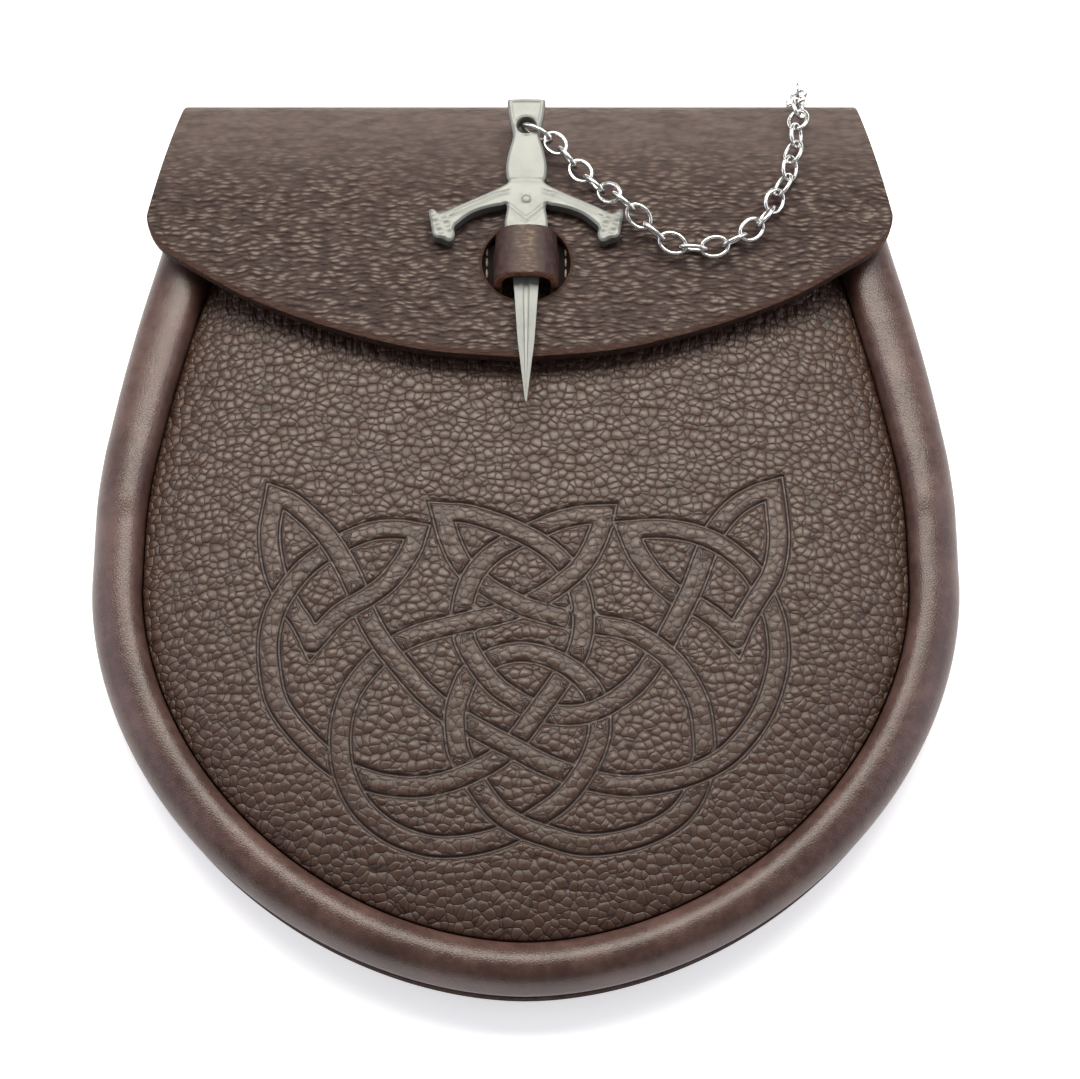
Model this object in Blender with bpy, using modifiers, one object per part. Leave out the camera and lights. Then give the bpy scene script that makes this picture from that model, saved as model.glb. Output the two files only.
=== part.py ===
"""A leather pouch for a kilt belt, whose flap is closed by a small dirk pin on a chain.

Lengths are in metres. X runs across the pouch, Y from its rounded end to the fold of its flap,
and Z out of its front. It lies on its back, with the origin half way across its underside.
"""

import math
from collections import namedtuple

import bmesh
import bpy
from mathutils import Matrix, Vector

# Room left between pieces that touch
CLEARANCE = 0.0003

# Outline of the body, at the outside of its rolled edge
POUCH_WIDTH = 0.190
WIDEST_Y = -0.006
LOWER_LENGTH = 0.0943
UPPER_LENGTH = 0.1225
LOWER_SQUARENESS = 1.88

# Walls
COVER_LEATHER = 0.0023
GUSSET_LEATHER = 0.0018
PANEL_LEATHER = 0.0020
LOOP_LEATHER = 0.0018
BELT_LEATHER = 0.0020

# Rolled edge
ROLL_HEIGHT = 0.0126
ROLL_WIDTH = 0.0110
ROLL_WIDTH_TOP = 0.0132
ROLL_LENGTH_UP = 0.102
FLANGE_WIDTH = 0.005
ROLL_LEAD = 0.004
ROLL_LEAN = 0.5
ROLL_OPENS = math.radians(190.0)
ROLL_CLOSES = math.radians(-90.0)

# Front panel
PANEL_LENGTH_UP = 0.097
PANEL_RIM_HEIGHT = 0.0102
PANEL_RISE = 0.0074
PANEL_FLATNESS = 3.0
PANEL_FULLNESS = 0.7
BACK_INSET = 0.0015

# Fold and flap
FOLD_HEIGHT = 0.0132
FOLD_OVERHANG = 0.0022
FOLD_CORNER = 0.0015
FLAP_HEIGHT = 0.0225
FLAP_SLOPE = math.radians(24.0)
FLAP_LENGTH = 0.0735
FLAP_DROP = 0.0389
FLAP_OVERHANG = 0.0024
FLAP_DROOP = 0.0030
FLAP_SHIFT = -0.0015

# Closure: a hole in the flap, and the strap that stands through it
HOLE_ROOM = 0.0005
CLOSURE_BELOW_FOLD = 0.0490
LOOP_WIDTH = 0.0142
LOOP_LENGTH = 0.0126
LOOP_CROWN = 0.0062
LOOP_FOOT = 0.0065
LOOP_SQUARENESS = 2.6

# Belt strip under the back
BELT_LOOP_WIDTH = 0.120
BELT_LOOP_HEIGHT = 0.025
BELT_LOOP_BELOW_FOLD = 0.0740
BELT_CORNER = 0.004
LIFT_RUN = 0.018

# Dirk pin
GUARD_BELOW_FOLD = 0.0353
GUARD_WIDTH = 0.0438
GUARD_DROP = 0.010
HILT_LENGTH = 0.028
GRIP_WIDTH = 0.0092
PIN_THICKNESS = 0.0028
POMMEL_HOLE = 0.0047
POMMEL_HOLE_Y = 0.0208
SHOULDER_START = 0.0006
SHOULDER_LENGTH = 0.0070
SHOULDER_WIDTH = 0.0086
BLADE_LENGTH = 0.0502
BLADE_THICKNESS = 0.0024

# Chain
LINK_LENGTH = 0.0070
LINK_WIDTH = 0.0052
LINK_WIRE = 0.0008
LINK_PITCH = 0.0048
RING_LENGTH = 0.0084
RING_WIDTH = 0.0056
RING_WIRE = 0.0010
RING_SLACK = 0.0009
RING_HEADING = math.radians(-30.0)

# Eye that holds the far end of the chain
ANCHOR_PLATE = 0.007
ANCHOR_THICKNESS = 0.001
ANCHOR_EYE = 0.0044
ANCHOR_WIRE = 0.0009

# How finely the curved pieces are divided
COLUMNS = 24
LOWER_ROWS = 5
ROLL_STEPS = 34
LOWER_SHARE = 0.6

# Sides of the body above the widest level, as shares of UPPER_LENGTH and of half POUCH_WIDTH
Side = namedtuple("Side", "rise half_width")
SIDES = (
    Side(0.00, 1.000),
    Side(0.17, 0.998),
    Side(0.34, 0.970),
    Side(0.52, 0.927),
    Side(0.69, 0.877),
    Side(0.85, 0.832),
    Side(1.00, 0.790),
)

# Lower edge of the flap: the angle whose sine is the share of its half width, and a share of FLAP_DROP
Edge = namedtuple("Edge", "angle drop")
FLAP_EDGE = (
    Edge(0.0, 1.000),
    Edge(15.0, 0.942),
    Edge(30.0, 0.790),
    Edge(45.0, 0.594),
    Edge(60.0, 0.375),
    Edge(75.0, 0.203),
    Edge(90.0, 0.000),
)

# Right half of the hilt, as shares of half GRIP_WIDTH and of HILT_LENGTH above the guard's middle
Hilt = namedtuple("Hilt", "out along")
HILT = (
    Hilt(0.80, 1.000),
    Hilt(0.91, 0.950),
    Hilt(0.87, 0.870),
    Hilt(0.74, 0.743),
    Hilt(0.66, 0.646),
    Hilt(0.81, 0.536),
    Hilt(0.94, 0.440),
    Hilt(1.00, 0.346),
    Hilt(0.96, 0.257),
    Hilt(0.90, 0.200),
)

# Right arm of the guard, as shares of half GUARD_WIDTH and of GUARD_DROP
Arm = namedtuple("Arm", "out along")
ARM = (
    Arm(0.330, 0.360),
    Arm(0.590, 0.070),
    Arm(0.790, -0.150),
    Arm(0.890, -0.260),
    Arm(0.955, -0.150),
    Arm(1.000, -0.210),
    Arm(0.980, -0.520),
    Arm(0.950, -0.840),
    Arm(0.860, -0.920),
    Arm(0.775, -0.990),
    Arm(0.735, -0.820),
    Arm(0.745, -0.630),
    Arm(0.690, -0.480),
    Arm(0.590, -0.290),
    Arm(0.480, -0.165),
    Arm(0.370, -0.090),
    Arm(0.260, -0.040),
)

# Blade, as shares of BLADE_LENGTH below the guard's middle, of SHOULDER_WIDTH and of BLADE_THICKNESS
Blade = namedtuple("Blade", "along width thickness")
BLADE = (
    Blade(0.11, 0.96, 1.00),
    Blade(0.44, 0.62, 1.00),
    Blade(0.70, 0.43, 0.75),
    Blade(1.00, 0.04, 0.12),
)

# Route of the chain: across, along the leather from the fold's outer line, and above the leather
Stop = namedtuple("Stop", "x along lift roll")
CHAIN_ROUTE = (
    Stop(0.0066, 0.0239, 0.0039, 20.0),
    Stop(0.0112, 0.0300, 0.0032, 20.0),
    Stop(0.0156, 0.0354, 0.0033, 20.0),
    Stop(0.0190, 0.0386, 0.0046, 20.0),
    Stop(0.0223, 0.0418, 0.0061, 20.0),
    Stop(0.0259, 0.0450, 0.0046, 20.0),
    Stop(0.0294, 0.0480, 0.0032, 20.0),
    Stop(0.0336, 0.0505, 0.0028, 20.0),
    Stop(0.0382, 0.0514, 0.0028, 20.0),
    Stop(0.0430, 0.0508, 0.0028, 20.0),
    Stop(0.0474, 0.0488, 0.0028, 20.0),
    Stop(0.0513, 0.0458, 0.0028, 25.0),
    Stop(0.0545, 0.0420, 0.0027, 30.0),
    Stop(0.0572, 0.0365, 0.0026, 40.0),
    Stop(0.0598, 0.0308, 0.0029, 50.0),
    Stop(0.0616, 0.0223, 0.0033, 56.0),
    Stop(0.0626, 0.0157, 0.0040, 69.0),
    Stop(0.0630, 0.0083, 0.0031, 52.0),
    Stop(0.0632, 0.0040, 0.0035, 88.0),
    Stop(0.0632, -0.0008, 0.0022, 89.0),
    Stop(0.0632, -0.0041, 0.0014, 90.0),
)

# Lengths that follow from the sizes above
FOLD_TOP_Y = WIDEST_Y + UPPER_LENGTH
CLOSURE_Y = FOLD_TOP_Y - CLOSURE_BELOW_FOLD
GUARD_Y = FOLD_TOP_Y - GUARD_BELOW_FOLD
BELT_LOOP_Y = FOLD_TOP_Y - BELT_LOOP_BELOW_FOLD
LIFT = BELT_LEATHER + CLEARANCE
FOLD_RADIUS = FOLD_HEIGHT / 2
FOLD_Y = FOLD_TOP_Y - FOLD_RADIUS
FOLD_Z = LIFT + FOLD_RADIUS
FLAP_BEND = (FLAP_HEIGHT - FOLD_Z - FOLD_RADIUS * math.cos(FLAP_SLOPE)) / (1 - math.cos(FLAP_SLOPE))
JOIN_Y = FOLD_Y + FOLD_RADIUS * math.sin(FLAP_SLOPE)
EDGE_Y = FOLD_TOP_Y - FLAP_LENGTH
CORNER_Y = EDGE_Y + FLAP_DROP
LIFT_TOP_Y = BELT_LOOP_Y - BELT_LOOP_HEIGHT / 2 - CLEARANCE
HOLE_DIAMETER = math.hypot(LOOP_WIDTH, LOOP_LENGTH) + 2 * HOLE_ROOM
PIN_Z = FLAP_HEIGHT + CLEARANCE + PIN_THICKNESS / 2


def clamp(value):
    """The value, kept between 0 and 1."""
    return max(0.0, min(1.0, value))


def ease(value):
    """A smooth step from 0 to 1."""
    share = clamp(value)
    return share * share * (3 - 2 * share)


def follow(rows, given, wanted, at):
    """One column of a table where another has the value at, on a smooth curve through the rows."""
    xs = [getattr(row, given) for row in rows]
    ys = [getattr(row, wanted) for row in rows]
    if xs[0] > xs[-1]:
        xs.reverse()
        ys.reverse()
    at = max(xs[0], min(xs[-1], at))
    slopes = []
    for i in range(len(xs)):
        low = max(i - 1, 0)
        high = min(i + 1, len(xs) - 1)
        slopes.append((ys[high] - ys[low]) / (xs[high] - xs[low]))
    i = min(sum(at >= x for x in xs), len(xs) - 1) - 1
    step = xs[i + 1] - xs[i]
    t = (at - xs[i]) / step
    rise = ys[i] + (ys[i + 1] - ys[i]) * t * t * (3 - 2 * t)
    return rise + step * t * (1 - t) * (slopes[i] * (1 - t) - slopes[i + 1] * t)


def half_width(y):
    """Half the body's width at a level above its widest one."""
    return POUCH_WIDTH / 2 * follow(SIDES, "rise", "half_width", (y - WIDEST_Y) / UPPER_LENGTH)


def lift(y):
    """How far the belt strip holds the back off the ground at y."""
    return LIFT * clamp(1 - (LIFT_TOP_Y - y) / LIFT_RUN)


def roll_half_width(y):
    """Half the width of the rolled edge at y."""
    share = ease((y - WIDEST_Y) / ROLL_LENGTH_UP)
    return (ROLL_WIDTH + (ROLL_WIDTH_TOP - ROLL_WIDTH) * share) / 2


def roll_half_height(y):
    """Half the height of the rolled edge at y, whose top stays level where the back is lifted."""
    return (ROLL_HEIGHT - lift(y)) / 2


def across(column):
    """Share of the half width at a column, and of the depth below the widest level."""
    angle = math.radians(90 * column)
    power = 2 / LOWER_SQUARENESS
    side = math.copysign(abs(math.sin(angle)) ** power, column)
    return side, abs(math.cos(angle)) ** power


def body_outline(turn):
    """A point of the body's outline, from -1 at the left top, through 0 at the rounded end, to 1."""
    if abs(turn) < LOWER_SHARE:
        side, depth = across(turn / LOWER_SHARE)
        return Vector((POUCH_WIDTH / 2 * side, WIDEST_Y - LOWER_LENGTH * depth, 0))
    share = (abs(turn) - LOWER_SHARE) / (1 - LOWER_SHARE)
    y = WIDEST_Y + ROLL_LENGTH_UP * share
    return Vector((math.copysign(half_width(y), turn), y, 0))


def body_outward(turn):
    """The direction out of the body at a point of its outline."""
    step = 0.004
    run = body_outline(min(turn + step, 1)) - body_outline(max(turn - step, -1))
    return Vector((run.y, -run.x, 0)).normalized()


def cover_profile(along):
    """Y and Z of the cover's outer face, and the face's direction, at a length along it.

    The length is 0 at the fold's outer line, above 0 on the flap and below 0 on the back.
    """
    quarter = math.pi / 2
    top_arc = FOLD_RADIUS * (quarter - FLAP_SLOPE)
    if along < -FOLD_RADIUS * quarter:
        y = FOLD_Y + along + FOLD_RADIUS * quarter
        return Vector((y, lift(y))), Vector((0, -1))
    if along < top_arc:
        angle = along / FOLD_RADIUS
        out = Vector((math.cos(angle), math.sin(angle)))
        return Vector((FOLD_Y, FOLD_Z)) + out * FOLD_RADIUS, out
    slope = max(0.0, FLAP_SLOPE - (along - top_arc) / FLAP_BEND)
    out = Vector((math.sin(slope), math.cos(slope)))
    middle = Vector((JOIN_Y - FLAP_BEND * math.sin(FLAP_SLOPE), FLAP_HEIGHT - FLAP_BEND))
    point = middle + out * FLAP_BEND
    point.x -= max(0.0, along - top_arc - FLAP_BEND * FLAP_SLOPE)
    return point, out


def flap_along(y):
    """The length along the cover at which the flap reaches y."""
    quarter = math.pi / 2
    top_arc = FOLD_RADIUS * (quarter - FLAP_SLOPE)
    flat_y = JOIN_Y - FLAP_BEND * math.sin(FLAP_SLOPE)
    if y < flat_y:
        return top_arc + FLAP_BEND * FLAP_SLOPE + flat_y - y
    return top_arc + FLAP_BEND * (FLAP_SLOPE - math.asin((y - flat_y) / FLAP_BEND))


def cover_half_width(along):
    """Half the cover's width at a length along it."""
    fold = half_width(FOLD_Y) + FOLD_OVERHANG - FOLD_CORNER
    if along <= 0:
        back = half_width(cover_profile(along)[0].x) - BACK_INSET
        return back + (fold - back) * ease(1 + along / (FOLD_RADIUS * math.pi))
    join = fold + FOLD_CORNER
    start = FOLD_RADIUS * (math.pi / 2 - FLAP_SLOPE)
    if along < start:
        return fold + FOLD_CORNER * along / start
    corner = half_width(CORNER_Y) + FLAP_OVERHANG
    return join + (corner - join) * clamp((along - start) / (flap_along(CORNER_Y) - start))


def cover_shift(along):
    """How far across the pouch the cover's middle lies at a length along it: the flap sits askew."""
    return FLAP_SHIFT * clamp(1 + along / (FOLD_RADIUS * math.pi))


def cover_point(x, along, above=0.0):
    """A point at x and at a length along the cover, above its outer face."""
    point, out = cover_profile(along)
    side = clamp(abs(x - cover_shift(along)) / cover_half_width(along))
    reach = clamp((JOIN_Y - point.x) / (JOIN_Y - CORNER_Y)) if along > 0 else 0.0
    droop = FLAP_DROOP * side * side * reach
    return Vector((x, point.x + out.x * above, point.y + out.y * above - droop))


def new_object(name, mesh, material, group):
    """An object for a mesh, in a group, with its material."""
    item = bpy.data.objects.new(name, mesh)
    group.objects.link(item)
    if material:
        mesh.materials.append(material)
    return item


def new_material(name, colour, roughness, metallic):
    """A plain finish."""
    material = bpy.data.materials.new(name)
    material.use_nodes = True
    shader = material.node_tree.nodes["Principled BSDF"]
    shader.inputs["Base Color"].default_value = (*colour, 1.0)
    shader.inputs["Roughness"].default_value = roughness
    shader.inputs["Metallic"].default_value = metallic
    return material


def sheet(name, columns, rows, place, leather, material, group):
    """A wall of leather whose outer face is a grid, moved by place(column, row)."""
    work = bmesh.new()
    bmesh.ops.create_grid(work, x_segments=columns, y_segments=rows, size=1.0)
    for vert in work.verts:
        column = round((vert.co.x + 1) / 2 * columns)
        row = round((vert.co.y + 1) / 2 * rows)
        vert.co = place(column, row)
    bmesh.ops.remove_doubles(work, verts=work.verts, dist=0.00002)
    mesh = bpy.data.meshes.new(name)
    work.to_mesh(mesh)
    work.free()
    mesh.shade_smooth()
    item = new_object(name, mesh, material, group)
    wall = item.modifiers.new("leather", "SOLIDIFY")
    wall.thickness = leather
    wall.offset = -1.0
    wall.use_even_offset = True
    return item


def cutter_cylinder(name, diameter, depth, middle, group, sides=32):
    """A round cutter that stands on Z."""
    work = bmesh.new()
    bmesh.ops.create_cone(
        work, cap_ends=True, segments=sides, radius1=diameter / 2, radius2=diameter / 2, depth=depth
    )
    bmesh.ops.translate(work, verts=work.verts, vec=middle)
    return hidden_object(name, work, group)


def hidden_object(name, work, group):
    """An object that only shapes another one."""
    mesh = bpy.data.meshes.new(name)
    work.to_mesh(mesh)
    work.free()
    item = new_object(name, mesh, None, group)
    item.hide_render = True
    item.display_type = "WIRE"
    return item


def combine(item, other, operation):
    """Cut an object with another, or join them."""
    change = item.modifiers.new(other.name, "BOOLEAN")
    change.operation = operation
    change.solver = "EXACT"
    change.object = other


def make_cover(material, group, cutters):
    """One piece of leather: the flap, the fold over the top, and the back."""
    flap_rows = LOWER_ROWS
    bend_rows = 6
    fold_rows = 7
    back_levels = (0.86, 0.66, 0.45, (LIFT_TOP_Y - WIDEST_Y) / UPPER_LENGTH)
    back_levels += ((LIFT_TOP_Y - LIFT_RUN - WIDEST_Y) / UPPER_LENGTH, 0.0)
    join = FOLD_RADIUS * (math.pi / 2 - FLAP_SLOPE)
    flap_corner = flap_along(CORNER_Y)
    lengths = [flap_corner + (join - flap_corner) * i / bend_rows for i in range(1, bend_rows + 1)]
    back = -FOLD_RADIUS * math.pi / 2
    lengths += [join + (back - join) * i / fold_rows for i in range(1, fold_rows + 1)]
    lengths += [back - FOLD_Y + WIDEST_Y + UPPER_LENGTH * level for level in back_levels]
    rows = flap_rows + len(lengths) + LOWER_ROWS

    def place(column, row):
        side, depth = across(2 * column / COLUMNS - 1)
        if row <= flap_rows:
            angle = math.degrees(math.asin(clamp(abs(side))))
            drop = FLAP_DROP * follow(FLAP_EDGE, "angle", "drop", angle)
            y = CORNER_Y - drop * (1 - row / flap_rows)
            return cover_point(side * cover_half_width(flap_corner) + FLAP_SHIFT, flap_along(y))
        if row <= flap_rows + len(lengths):
            along = lengths[row - flap_rows - 1]
            return cover_point(side * cover_half_width(along) + cover_shift(along), along)
        share = (row - flap_rows - len(lengths)) / LOWER_ROWS
        y = WIDEST_Y - (LOWER_LENGTH - BACK_INSET) * depth * share
        return Vector((side * (POUCH_WIDTH / 2 - BACK_INSET), y, lift(y)))

    cover = sheet("cover", COLUMNS, rows, place, COVER_LEATHER, material, group)
    middle = (0, CLOSURE_Y, FLAP_HEIGHT)
    hole = cutter_cylinder("flap_hole", HOLE_DIAMETER, FLAP_HEIGHT - FOLD_HEIGHT, middle, cutters)
    combine(cover, hole, "DIFFERENCE")
    return cover


def make_gusset(material, group):
    """The rolled edge: a strip bent into an open tube round the body, with a flange on the back."""
    around = 15

    def place(column, row):
        turn = 2 * row / ROLL_STEPS - 1
        rim = body_outline(turn)
        out = body_outward(turn)
        wide = roll_half_width(rim.y)
        high = roll_half_height(rim.y)
        middle = rim - out * wide
        angle = ROLL_OPENS + (ROLL_CLOSES - ROLL_OPENS) * min(column, around - 1) / (around - 1)
        lean = ROLL_LEAN * max(0.0, math.sin(angle)) ** 2
        point = middle + out * wide * (math.cos(angle) - lean)
        if column == around:
            point -= out * FLANGE_WIDTH
        point.z = lift(point.y + ROLL_LEAD) + COVER_LEATHER + CLEARANCE + high * (1 + math.sin(angle))
        return point

    return sheet("gusset", around, ROLL_STEPS, place, GUSSET_LEATHER, material, group)


def panel_half_width(y):
    """Half the front panel's width at a level above its widest one."""
    step = 0.001
    slope = (half_width(y + step) - half_width(y - step)) / (2 * step)
    return half_width(y) - (2 * roll_half_width(y) + CLEARANCE) * math.hypot(1, slope)


def panel_height(share):
    """Height of the front panel's face, a pillow, at a share of the way from its middle to its rim."""
    return PANEL_RIM_HEIGHT + PANEL_RISE * (1 - clamp(share) ** PANEL_FLATNESS) ** PANEL_FULLNESS


def make_front_panel(material, group):
    """The domed front, sewn edge to edge to the rolled edge and left open under the flap."""
    upper_rows = 8
    lower = LOWER_ROWS + 2

    def place(column, row):
        side, depth = across(2 * column / COLUMNS - 1)
        if row >= lower:
            y = WIDEST_Y + PANEL_LENGTH_UP * (row - lower) / upper_rows
            return Vector((side * panel_half_width(y), y, panel_height(abs(side))))
        turn = LOWER_SHARE * (2 * column / COLUMNS - 1)
        rim = body_outline(turn) - body_outward(turn) * (ROLL_WIDTH + CLEARANCE)
        share = math.cos(math.pi / 2 * row / lower)
        power = LOWER_SQUARENESS
        out = (abs(side) ** power + (depth * share) ** power) ** (1 / power)
        return Vector((rim.x, WIDEST_Y + (rim.y - WIDEST_Y) * share, panel_height(out)))

    return sheet("front_panel", COLUMNS, lower + upper_rows, place, PANEL_LEATHER, material, group)


def make_closure_loop(material, group):
    """The strap sewn to the front panel, which stands in an arch through the hole of the flap."""
    arch_steps = 14
    foot_z = panel_height(0) + CLEARANCE + LOOP_LEATHER

    def place(column, row):
        y = CLOSURE_Y + LOOP_LENGTH * (row - 0.5)
        half = LOOP_WIDTH / 2
        power = 2 / LOOP_SQUARENESS
        if column in (0, arch_steps + 4):
            return Vector((math.copysign(half + LOOP_FOOT, column - 1), y, foot_z))
        if column in (1, arch_steps + 3):
            return Vector((math.copysign(half, column - 2), y, foot_z))
        angle = math.pi * (column - 2) / arch_steps
        rise = LOOP_CROWN * abs(math.sin(angle)) ** power
        x = -math.copysign(half * abs(math.cos(angle)) ** power, math.cos(angle))
        return Vector((x, y, FLAP_HEIGHT + rise))

    return sheet("closure_loop", arch_steps + 4, 1, place, LOOP_LEATHER, material, group)


def make_belt_loop(material, group):
    """The strip across the back that a belt passes behind, flat where the pouch lies on it."""
    work = bmesh.new()
    bmesh.ops.create_cube(work, size=1.0)
    bmesh.ops.scale(work, verts=work.verts, vec=(BELT_LOOP_WIDTH, BELT_LOOP_HEIGHT, BELT_LEATHER))
    bmesh.ops.translate(work, verts=work.verts, vec=(0, BELT_LOOP_Y, BELT_LEATHER / 2))
    corners = [edge for edge in work.edges if edge.calc_length() < BELT_LEATHER * 2]
    bmesh.ops.bevel(work, geom=corners, offset=BELT_CORNER, segments=4, profile=0.5, affect="EDGES")
    mesh = bpy.data.meshes.new("belt_loop")
    work.to_mesh(mesh)
    work.free()
    return new_object("belt_loop", mesh, material, group)


def pin_outline():
    """The outline of the hilt, guard and shoulder, round the right side and back up the left."""
    right = [(row.out * GRIP_WIDTH / 2, row.along * HILT_LENGTH) for row in HILT]
    right += [(row.out * GUARD_WIDTH / 2, row.along * GUARD_DROP) for row in ARM]
    right += [(SHOULDER_WIDTH / 2, -SHOULDER_START), (SHOULDER_WIDTH / 2, -SHOULDER_LENGTH)]
    return right + [(-x, y) for x, y in reversed(right)]


def make_dirk_pin(material, group, cutters):
    """The pin, one casting: a flat hilt and guard, and a blade with a ridge along its middle."""
    outline = bpy.data.curves.new("pin_outline", "CURVE")
    outline.dimensions = "2D"
    outline.fill_mode = "BOTH"
    outline.extrude = PIN_THICKNESS / 2
    points = pin_outline()
    spline = outline.splines.new("POLY")
    spline.points.add(len(points) - 1)
    for point, (x, y) in zip(spline.points, points):
        point.co = (x, y, 0, 1)
    spline.use_cyclic_u = True
    guide = new_object("pin_outline", outline, None, cutters)
    guide.location = (0, GUARD_Y, PIN_Z)
    mesh = curve_mesh(guide, "dirk_pin")
    pin = new_object("dirk_pin", mesh, material, group)

    work = bmesh.new()
    bmesh.ops.create_circle(work, cap_ends=True, segments=4, radius=1.0)
    end = work.faces[:]
    end_verts = work.verts[:]
    shape_section(work, end_verts, BLADE[0])
    for row in BLADE[1:]:
        made = bmesh.ops.extrude_face_region(work, geom=end)
        if row is not BLADE[1]:
            bmesh.ops.delete(work, geom=end, context="FACES_ONLY")
        end = [part for part in made["geom"] if isinstance(part, bmesh.types.BMFace)]
        end_verts = end[0].verts[:]
        shape_section(work, end_verts, row)
    bmesh.ops.recalc_face_normals(work, faces=work.faces)
    blade = hidden_object("pin_blade", work, cutters)
    combine(pin, blade, "UNION")

    middle = (0, GUARD_Y + POMMEL_HOLE_Y, PIN_Z)
    hole = cutter_cylinder("pommel_hole", POMMEL_HOLE, PIN_THICKNESS * 2, middle, cutters, 20)
    combine(pin, hole, "DIFFERENCE")
    return pin


def shape_section(work, verts, row):
    """Put the four corners of a blade section at its place along the blade."""
    corners = ((1, 0), (0, 1), (-1, 0), (0, -1))
    for vert, (side, face) in zip(verts, corners):
        x = side * row.width * SHOULDER_WIDTH / 2
        z = face * row.thickness * BLADE_THICKNESS / 2
        vert.co = (x, GUARD_Y - row.along * BLADE_LENGTH, PIN_Z + z)


def curve_mesh(guide, name):
    """A welded mesh of a curve object, in the world's frame. The curve is removed."""
    bpy.context.view_layer.update()
    made = guide.evaluated_get(bpy.context.evaluated_depsgraph_get())
    mesh = bpy.data.meshes.new_from_object(made)
    mesh.name = name
    mesh.transform(guide.matrix_world)
    bpy.data.objects.remove(guide)
    work = bmesh.new()
    work.from_mesh(mesh)
    bmesh.ops.remove_doubles(work, verts=work.verts, dist=0.00001)
    work.to_mesh(mesh)
    work.free()
    return mesh


def oval_ring(name, length, width, wire, points, material, cutters):
    """The mesh of an oval ring of round wire, long on X, flat on Z."""
    curve = bpy.data.curves.new(name, "CURVE")
    curve.dimensions = "3D"
    curve.bevel_depth = wire / 2
    curve.bevel_resolution = 1
    spline = curve.splines.new("POLY")
    spline.points.add(points - 1)
    for i, point in enumerate(spline.points):
        angle = 2 * math.pi * (i + 0.5) / points
        x = (length - wire) / 2 * math.cos(angle)
        y = (width - wire) / 2 * math.sin(angle)
        point.co = (x, y, 0, 1)
    spline.use_cyclic_u = True
    guide = new_object(name, curve, None, cutters)
    mesh = curve_mesh(guide, name)
    mesh.materials.append(material)
    mesh.shade_smooth()
    return mesh


def turned(middle, ahead, up, roll):
    """The frame of a link: X ahead along the chain, and Z the face of the link, rolled away from up."""
    ahead = ahead.normalized()
    side = up.cross(ahead).normalized()
    face = ahead.cross(side)
    frame = Matrix((ahead, side, face)).transposed().to_4x4()
    return Matrix.Translation(middle) @ frame @ Matrix.Rotation(math.radians(roll), 4, "X")


def route_curve(samples=40):
    """Many points on a smooth curve through the chain's route, each with its roll."""
    stops = CHAIN_ROUTE
    found = []
    for i in range(len(stops) - 1):
        before = stops[max(i - 1, 0)]
        start = stops[i]
        end = stops[i + 1]
        after = stops[min(i + 2, len(stops) - 1)]
        for step in range(samples):
            t = step / samples
            mixed = [catmull(before[k], start[k], end[k], after[k], t) for k in range(len(start))]
            x, along, above, roll = mixed
            found.append((cover_point(x, along, above), cover_profile(along)[1], roll))
    return found


def catmull(a, b, c, d, t):
    """A smooth value between b and c."""
    bend = 2 * a - 5 * b + 4 * c - d
    twist = 3 * b - a - 3 * c + d
    return 0.5 * (2 * b + (c - a) * t + bend * t * t + twist * t ** 3)


def chain_places():
    """The middle of each link, the direction out of the leather there, and the link's roll.

    They are one pitch apart and come in pairs, so that the last one lies flat in the eye.
    """
    places = []
    last = None
    for point, out, roll in route_curve():
        if last is None or (point - last).length >= LINK_PITCH:
            places.append((point, Vector((0, out.x, out.y)), roll))
            last = point
    return places[: len(places) // 2 * 2]


def make_chain(material, group, cutters):
    """The jump ring through the pommel, and the links, each laid at a right angle to the last."""
    ring = oval_ring("jump_ring", RING_LENGTH, RING_WIDTH, RING_WIRE, 14, material, cutters)
    heading = Vector((math.cos(RING_HEADING), math.sin(RING_HEADING), 0))
    reach = (RING_LENGTH - RING_WIRE) / 2 - (POMMEL_HOLE - RING_WIRE) / 2 + RING_SLACK
    middle = Vector((0, GUARD_Y + POMMEL_HOLE_Y, PIN_Z)) + heading * reach
    first = new_object("jump_ring", ring, None, group)
    first.matrix_world = turned(middle, heading, Vector((0, 0, 1)), 90)

    link = oval_ring("link", LINK_LENGTH, LINK_WIDTH, LINK_WIRE, 12, material, cutters)
    places = chain_places()
    for i, (point, out, roll) in enumerate(places):
        before = places[max(i - 1, 0)][0]
        after = places[min(i + 1, len(places) - 1)][0]
        item = new_object(f"link_{i + 1:02d}", link, None, group)
        item.matrix_world = turned(point, after - before, out, roll - 90 * (i % 2))
    return places


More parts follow.
